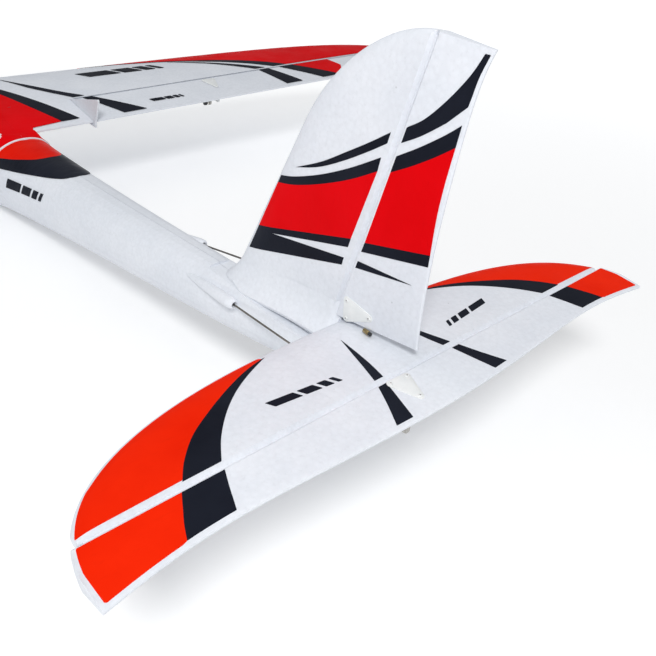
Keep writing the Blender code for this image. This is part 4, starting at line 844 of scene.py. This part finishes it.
for word, side in SIDES:
    for key, (skin, points) in aileron_films.items():
        outline = [Vector((side * x, y)) for x, y in points]
        sheet(f"aileron_{key}_{word}", outline, on_wing, skin, f"aileron_{word}", 3.0, 0.3)


def on_deck(y, turn):
    """A point on the fuselage; turn is in thousandths of a degree, as sheet scales both its numbers."""
    return fuselage_point(y, math.radians(turn / MM)) + deck_normal(y, math.radians(turn / MM)) * 2 * LIFT


def deck_film(name, outline, material):
    """A film on each side of the fuselage's crown, its outline in millimetres aft and degrees of turn."""
    for word, side in SIDES:
        points = [Vector((y, 90 - side * (90 - turn))) for y, turn in outline]
        sheet(f"{name}_{word}", points, on_deck, material, "fuselage", 2.5, 0.3)


red_edge = curve([(158.0, 90.0), (157.0, 79.0), (150.6, 65.0), (133.2, 48.6), (114.0, 37.4), (104.0, 33.0)])
red_front = curve([(104.4, 44.0), (106.1, 51.3), (110.3, 67.0), (113.5, 90.0)])
deck_film("deck_red", red_edge + red_front, RED_DECK)
black_edge = curve([(205.0, 90.0), (203.8, 77.0), (197.6, 62.6), (182.4, 49.8), (162.2, 38.8),
                    (141.8, 30.0), (118.9, 22.6), (95.0, 16.0), (70.0, 11.0)])
black_top = curve([(70.0, 13.0), (88.0, 23.0), (103.9, 32.8)])
red_back = curve([(104.0, 33.0), (114.0, 37.4), (133.2, 48.6), (151.0, 65.0), (157.2, 79.0), (158.0, 90.0)])
deck_film("deck_black", black_edge + black_top + red_back[1:], BLACK)


# ---------------------------------------------------------------- moulded fairings
def ring_about(centre, along, radius, count=20):
    """A circle around a line."""
    aside = along.cross(Vector((0, 0, 1)) if abs(along.z) < 0.9 else Vector((1, 0, 0))).normalized()
    over = aside.cross(along).normalized()
    turns = [2 * math.pi * i / count for i in range(count)]
    return [centre + (aside * math.cos(t) + over * math.sin(t)) * radius for t in turns]


def blister(name, start, end):
    """The moulded teardrop over a pushrod, open at the back where the wire comes out."""
    start, end = Vector(start), Vector(end)
    along = (end - start).normalized()
    rings = []
    for i in range(25):
        share = i / 24
        size = 3.7 * MM * math.sin(math.pi / 2 * share**0.8) ** 0.9 + 0.1 * MM
        if share > 0.93:
            size *= 1 - 0.10 * ((share - 0.93) / 0.07) ** 2
        rings.append(ring_about(start + (end - start) * share, along, size))
    rings.append(ring_about(end + along * 0.7 * MM, along, 2.9 * MM))
    rings.append(ring_about(end + along * 0.8 * MM, along, 1.5 * MM))
    rings.append(ring_about(end - along * 3.0 * MM, along, 1.2 * MM))
    loft(name, rings, FOAM, "fuselage", 35)


blister("blister_left", (0.01262, 0.3500, 0.0665), (0.01800, 0.4165, 0.0721))
blister("blister_right", (-0.01040, 0.2900, 0.0625), (-0.01131, 0.3470, 0.0731))


def crown_at(x, y):
    """Height of the fuselage skin above a point."""
    low, high = 0.0, math.pi / 2
    for _ in range(30):
        middle = (low + high) / 2
        if fuselage_point(y, middle).x > x:
            low = middle
        else:
            high = middle
    return fuselage_point(y, low).z


def fin_fillet():
    """The soft moulded cove between the fuselage and the foot of the fin."""
    for word, side in SIDES:
        rings = []
        for i in range(37):
            share = i / 36
            y = FILLET_FRONT_Y + (FILLET_REAR_Y - FILLET_FRONT_Y) * share
            fade = math.sin(math.pi / 2 * min(share / 0.30, 1.0))
            crown = crown_at(0.5 * MM, y)
            top = crown + 0.1 * MM + 12.5 * MM * fade
            wide, forward = fin_foot(top)
            half = plate_half(y, fin_front_y(top) - forward, fin_hinge_y(top)) * wide
            reach = min(half + 7.5 * MM * fade + 0.5 * MM, fuselage_point(y, 0).x - 1.5 * MM)
            foot = Vector((reach, y, crown_at(reach, y) - 0.45 * MM))
            head = Vector((half + 0.10 * MM, y, top))
            root = Vector((half + 1.0 * MM, y, crown_at(half + 1.0 * MM, y) + 0.9 * MM))
            shares = [k / 14 for k in range(15)]
            arc = [foot * (1 - t) ** 2 + root * 2 * t * (1 - t) + head * t**2 for t in shares]
            within = max(half - 0.8 * MM, 0.0)
            under = [Vector((within, y, top - 1 * MM)), Vector((within, y, foot.z - 3.0 * MM)),
                     Vector((foot.x - 0.8 * MM, y, foot.z - 2.0 * MM))]
            rings.append([Vector((side * p.x, p.y, p.z)) for p in arc + under])
        loft(f"fin_fillet_{word}", rings, FOAM, "fuselage", 60)


fin_fillet()


def tongue_point(y, turn, lift=0.0):
    """The wing's moulded saddle: a skin over the deck, flush with the panels in the middle."""
    angle = math.radians(turn / MM)
    spot = fuselage_point(y, angle) + deck_normal(y, angle) * (1.3 * MM + lift)
    flush = wing_top(spot.x, min(y, 0.1022)) + 0.30 * MM + lift
    near_wing = min(max((0.1095 - y) / 0.0070, 0.0), 1.0)
    near_middle = min(max((19.0 * MM - abs(spot.x)) / (6.0 * MM), 0.0), 1.0)
    share = (3 * near_wing**2 - 2 * near_wing**3) * (3 * near_middle**2 - 2 * near_middle**3)
    spot.z += max(flush - spot.z, 0.0) * share
    return spot


def on_saddle(y, turn):
    return tongue_point(y, turn, LIFT)


def tongue_rear(turn):
    """Where the saddle ends behind the wing, in metres, over the turn angle in degrees."""
    aside = abs(turn - 90) / SADDLE_TURN
    return SADDLE_REAR_Y + SADDLE_TONGUE * max(1 - aside**2.2, 0.0) ** 0.7


def root_tongue():
    """The saddle and the red film on its rear part."""
    rings = []
    for i in range(45):
        turn = 90 - SADDLE_TURN + 2 * SADDLE_TURN * i / 44
        rear = tongue_rear(turn)
        ys = [SADDLE_FRONT_Y + (rear - SADDLE_FRONT_Y) * k / 8 for k in range(9)]
        upper = [tongue_point(y, turn * MM) for y in ys]
        upper[-1] = upper[-1] - deck_normal(rear, math.radians(turn)) * 0.4 * MM
        lower = [tongue_point(p.y, turn * MM, -2.6 * MM) for p in reversed(upper)]
        rings.append(upper + lower)
    loft("wing_root_saddle", rings, FOAM, "fuselage", 50)
    for word, side in SIDES:
        turns = [90 - side * (0.05 + 52 * k / 20) for k in range(21)]
        outline = [Vector((tongue_rear(t) / MM - 1.5, t)) for t in turns]
        outline += [Vector((100.6, t)) for t in reversed(turns)]
        sheet(f"saddle_red_{word}", outline, on_saddle, RED_FIN, "fuselage", 2.0, 0.2)


root_tongue()


def cylinder(name, start, end, radius, material, body, count=24, chamfer=0.12):
    """A turned piece with softened ends."""
    start, end = Vector(start), Vector(end)
    along = (end - start).normalized()
    soft = radius * chamfer
    ends = ((start, radius - soft), (start + along * soft, radius))
    ends += ((end - along * soft, radius), (end, radius - soft))
    rings = [ring_about(place, along, size, count) for place, size in ends]
    return loft(name, rings, material, body, 50)


def hinge_strips():
    """The skin of foam left uncut along each aileron's hinge: a rib that fills the narrow gap."""
    start, length = AILERON_INNER_X + 0.6 * MM, AILERON_OUTER_X - AILERON_INNER_X - 1.2 * MM
    y = WING_REAR_Y - AILERON_CHORD
    for word, side in SIDES:
        rings = []
        for i in range(41):
            x = side * (start + length * i / 40)
            tops = [Vector((x, y + dy * MM, wing_top(x, y) + up * MM)) for dy, up in
                    ((-0.34, -0.02), (-0.2, 0.1), (0.2, 0.1), (0.34, -0.02))]
            rings.append(tops + [p - Vector((0, 0, 0.3 * MM)) for p in reversed(tops)])
        loft(f"aileron_hinge_skin_{word}", rings, FOAM, "fuselage", 50)


hinge_strips()


def bars(name, start, along, rise, lengths, place, body, outward=(0, 0, 1), gap=2.2):
    """A plain generic trim mark: a row of slanted bars, start and directions in millimetres."""
    start, rise = Vector(start), Vector(rise)
    along = Vector(along).normalized()
    here = 0.0
    for k, length in enumerate(lengths):
        a, b = start + along * here, start + along * (here + length)
        sheet(f"{name}_{k}", [a, b, b + rise, a + rise], place, BLACK, body, 3.0, 0.5, outward)
        here += length + gap


def on_deck_starboard(y, turn):
    return on_deck(y, 180 * MM - turn)


for word, side in SIDES:
    bars(f"stab_mark_{word}", (side * 81.0, 519.4), (-side, 0.10), (side * -2.4, 4.6), (15.0, 9.0, 5.0, 2.6),
         on_stabilizer, "fuselage")
for word, side in SIDES:
    bars(f"wing_mark_{word}", (side * 104.0, 4.0), (side, 0.03), (side * 9.0, 14.0), (34.0, 20.0, 11.0, 6.0),
         on_wing, "fuselage", gap=4.5)
    bars(f"aileron_mark_{word}", (side * 138.0, 84.0), (side, 0.02), (side * 2.6, 4.6), (14.0, 8.0, 4.6, 2.4),
         on_wing, f"aileron_{word}", gap=2.0)
for word, side in SIDES:
    bars(f"side_mark_{word}", (130.0, 1.0), (1, 0.115), (3.4, 14.0), (22.0, 13.0, 7.5, 4.0),
         on_deck if side > 0 else on_deck_starboard, "fuselage", (side, 0, 0), 3.0)


# ---------------------------------------------------------------- small hardware
def repaint(name, centre, reach, skin):
    """Gives the faces of a CAD piece near a point another finish."""
    mesh = frame["nodes"][name].data
    mesh.materials.append(skin)
    for polygon in mesh.polygons:
        if (polygon.center - centre).length < reach:
            polygon.material_index = len(mesh.materials) - 1


for name in ("elevator_pushrod", "aileron_pushrod_left", "aileron_pushrod_right"):
    _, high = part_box(name)
    rear = [v.co for v in frame["nodes"][name].data.vertices if v.co.y > high.y - 14 * MM]
    repaint(name, sum(rear, Vector()) / len(rear), 7.0 * MM, CONNECTOR)


def horn_plate(name, spots, surface, outward, body, node):
    """A thin three-cornered plate in place of a CAD node, with a boss and a pin end at every corner."""
    spots = [Vector(p) for p in spots]
    middle = sum(spots, Vector((0, 0))) / 3
    outline = []
    for k, spot in enumerate(spots):
        before, after = spots[k - 1] - spot, spots[(k + 1) % 3] - spot
        outward_2d = -(before.normalized() + after.normalized()).normalized()
        facing = math.atan2(outward_2d.y, outward_2d.x)
        turn = 1 if (spots[1] - spots[0]).cross(spots[2] - spots[0]) > 0 else -1
        for j in range(9):
            angle = facing + turn * math.radians(-64 + 16 * j)
            outline.append(spot + Vector((math.cos(angle), math.sin(angle))) * 2.1)
    outward = Vector(outward)
    lower = [surface(p.x * MM, p.y * MM) - outward * 0.3 * MM for p in outline]
    shoulder = [surface(p.x * MM, p.y * MM) + outward * 0.22 * MM for p in outline]
    upper = [surface(*((middle + (p - middle) * 0.975) * MM)) + outward * 0.32 * MM for p in outline]
    pieces = [loft(name, [lower, shoulder, upper], NYLON, body, 30)]
    for word, spot in zip("abc", spots):
        base = surface(spot.x * MM, spot.y * MM)
        for kind, height, *look in (("boss", 0.75, 1.15 * MM, NYLON, body, 24, 0.25),
                                    ("pin", 0.83, 0.42 * MM, WIRE, body, 16, 0.3)):
            pieces.append(cylinder(f"{name}_{kind}_{word}", base, base + outward * height * MM, *look))
    for piece in pieces:
        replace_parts(piece, node)


horn_plate("elevator_plate", [(13.0, 543.6), (24.3, 543.3), (18.4, 556.7)], on_elevator, (0, 0, 1),
           "elevator", "elevator_horn_backplate")
horn_plate("rudder_plate", [(491.4, 106.9), (492.3, 96.6), (506.9, 103.5)], on_rudder(1), (1, 0, 0),
           "rudder", "rudder_horn_backplate")
for word, side in SIDES:
    spots = [(side * 215.0, 66.4), (side * 226.6, 66.8), (side * 220.0, 81.5)]
    horn_plate(f"aileron_plate_{word}", spots, on_wing, (0, 0, 1), f"aileron_{word}",
               f"aileron_horn_backplate_{word}")


def horn_arm(name, outline, middle_x, thickness, body):
    """A flat upright arm with a rounded end, cut to an outline of (y, z) in millimetres."""
    line = rounded([Vector(p) for p in outline], 2.8)
    faces_x = (middle_x - thickness / 2, middle_x + thickness / 2)
    rings = [[Vector((x, p.x * MM, p.y * MM)) for p in line] for x in faces_x]
    # The arm's darker nylon is painted shade.
    loft(name, rings, SHADED_HORN_NYLON, body, 40)


arm = [(545.0, 87.4), (556.0, 87.4), (556.3, 69.8), (549.6, 69.8), (547.0, 78.0)]
horn_arm("elevator_horn_arm", arm, 0.0208, 1.4 * MM, "elevator")
arm = [(63.0, 80.0), (74.0, 80.0), (70.6, 63.6), (64.6, 63.6)]
LOCK_Y, LOCK_Z = 0.0676, 0.0662
for word, side in SIDES:
    body = f"aileron_{word}"
    horn_arm(f"aileron_horn_arm_{word}", arm, side * 0.2216, 1.5 * MM, body)
    for kind, start_x, end_x, radius, skin in (("lock", 0.2225, 0.2180, 2.1, CONNECTOR),
                                               ("lock_cap", 0.2182, 0.2152, 2.6, BLACK_NYLON)):
        start, end = (side * start_x, LOCK_Y, LOCK_Z), (side * end_x, LOCK_Y, LOCK_Z)
        cylinder(f"aileron_{kind}_{word}", start, end, radius * MM, skin, body)
cylinder("rudder_lock", (0.0030, 0.5052, 0.0958), (0.0036, 0.5092, 0.0960), 1.2 * MM, BRASS, "rudder")
cylinder("rudder_lock_cap", (0.0036, 0.5090, 0.0960), (0.0038, 0.5108, 0.0961), 1.0 * MM, BLACK_NYLON,
         "rudder")


# ---------------------------------------------------------------- floor, light and camera
def remap(tree, source, before, after):
    """A value moved from the range before to the range after."""
    node = tree.nodes.new("ShaderNodeMapRange")
    for name, value in zip(("From Min", "From Max", "To Min", "To Max"), before + after):
        node.inputs[name].default_value = value
    tree.links.new(source, node.inputs["Value"])
    return node.outputs["Result"]


floor_mesh = bpy.data.meshes.new("floor")
floor_mesh.from_pydata([(-12, -12, 0), (12, -12, 0), (12, 12, 0), (-12, 12, 0)], [], [(0, 1, 2, 3)])
floor = bpy.data.objects.new("floor", floor_mesh)
floor.location.z = -0.4 * MM
bpy.context.scene.collection.objects.link(floor)
paint, tree, shader, where = new_material("floor_paint", 0.9)
tree.links.new(grey(tree, noise(tree, where, 3), 0.960, 0.970), shader.inputs["Base Color"])
shader.inputs["Emission Color"].default_value = (1, 1, 1, 1)
away = tree.nodes.new("ShaderNodeVectorMath")
away.operation = "DISTANCE"
away.inputs[1].default_value = (0.12, 0.62, 0.0)
tree.links.new(where, away.inputs[0])
fade = remap(tree, away.outputs["Value"], (0.35, 1.6), (0.08, 0.52))
tree.links.new(fade, shader.inputs["Emission Strength"])
shader.inputs["Specular IOR Level"].default_value = 0.0
floor_mesh.materials.append(paint)
floor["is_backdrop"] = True

world = bpy.data.worlds.new("studio")
world.use_nodes = True
sky = world.node_tree
direction = sky.nodes.new("ShaderNodeTexCoord")
parts = sky.nodes.new("ShaderNodeSeparateXYZ")
sky.links.new(direction.outputs["Generated"], parts.inputs["Vector"])
overhead = remap(sky, parts.outputs["Z"], (0.0, 0.9), (0.22, 0.72))
path = sky.nodes.new("ShaderNodeLightPath")
seen = sky.nodes.new("ShaderNodeMix")
sky.links.new(path.outputs["Is Camera Ray"], seen.inputs["Factor"])
sky.links.new(overhead, seen.inputs[2])
seen.inputs[3].default_value = 1.0
sky.links.new(seen.outputs[0], sky.nodes["Background"].inputs["Strength"])
sky.nodes["Background"].inputs["Color"].default_value = (0.965, 0.98, 1.0, 1)
bpy.context.scene.world = world
bpy.context.scene.view_settings.view_transform = "Standard"


def lamp(name, place, target, size, power, colour):
    """A round soft lamp that faces its target."""
    light = bpy.data.lights.new(name, "AREA")
    light.shape = "DISK"
    light.size = size
    light.energy = power
    light.color = colour
    holder = bpy.data.objects.new(name, light)
    holder.location = place
    holder.rotation_euler = (Vector(target) - Vector(place)).to_track_quat("-Z", "Y").to_euler()
    bpy.context.scene.collection.objects.link(holder)


lamp("key", (0.67, 1.06, 1.08), (0.0, 0.42, 0.08), 0.36, 10.5, (1.0, 0.995, 0.985))

AZIMUTH, ELEVATION, ROLL = math.radians(132.2043), math.radians(32.3), math.radians(7.0992)
back = Vector((math.sin(AZIMUTH), -math.cos(AZIMUTH), 0)) * math.cos(ELEVATION)
back.z = math.sin(ELEVATION)
right = Vector((0, 0, 1)).cross(back).normalized()
up = back.cross(right)
turned_right = right * math.cos(ROLL) + up * math.sin(ROLL)
turned_up = up * math.cos(ROLL) - right * math.sin(ROLL)
lens = bpy.data.cameras.new("camera")
lens.sensor_width = 36
lens.lens = 40.61
lens.clip_start = 0.01
camera = bpy.data.objects.new("camera", lens)
placement = Matrix((turned_right, turned_up, back)).transposed().to_4x4()
placement.translation = Vector((0.25409, 0.70798, 0.29797))
camera.matrix_world = placement
bpy.context.scene.collection.objects.link(camera)
bpy.context.scene.camera = camera

low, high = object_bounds()
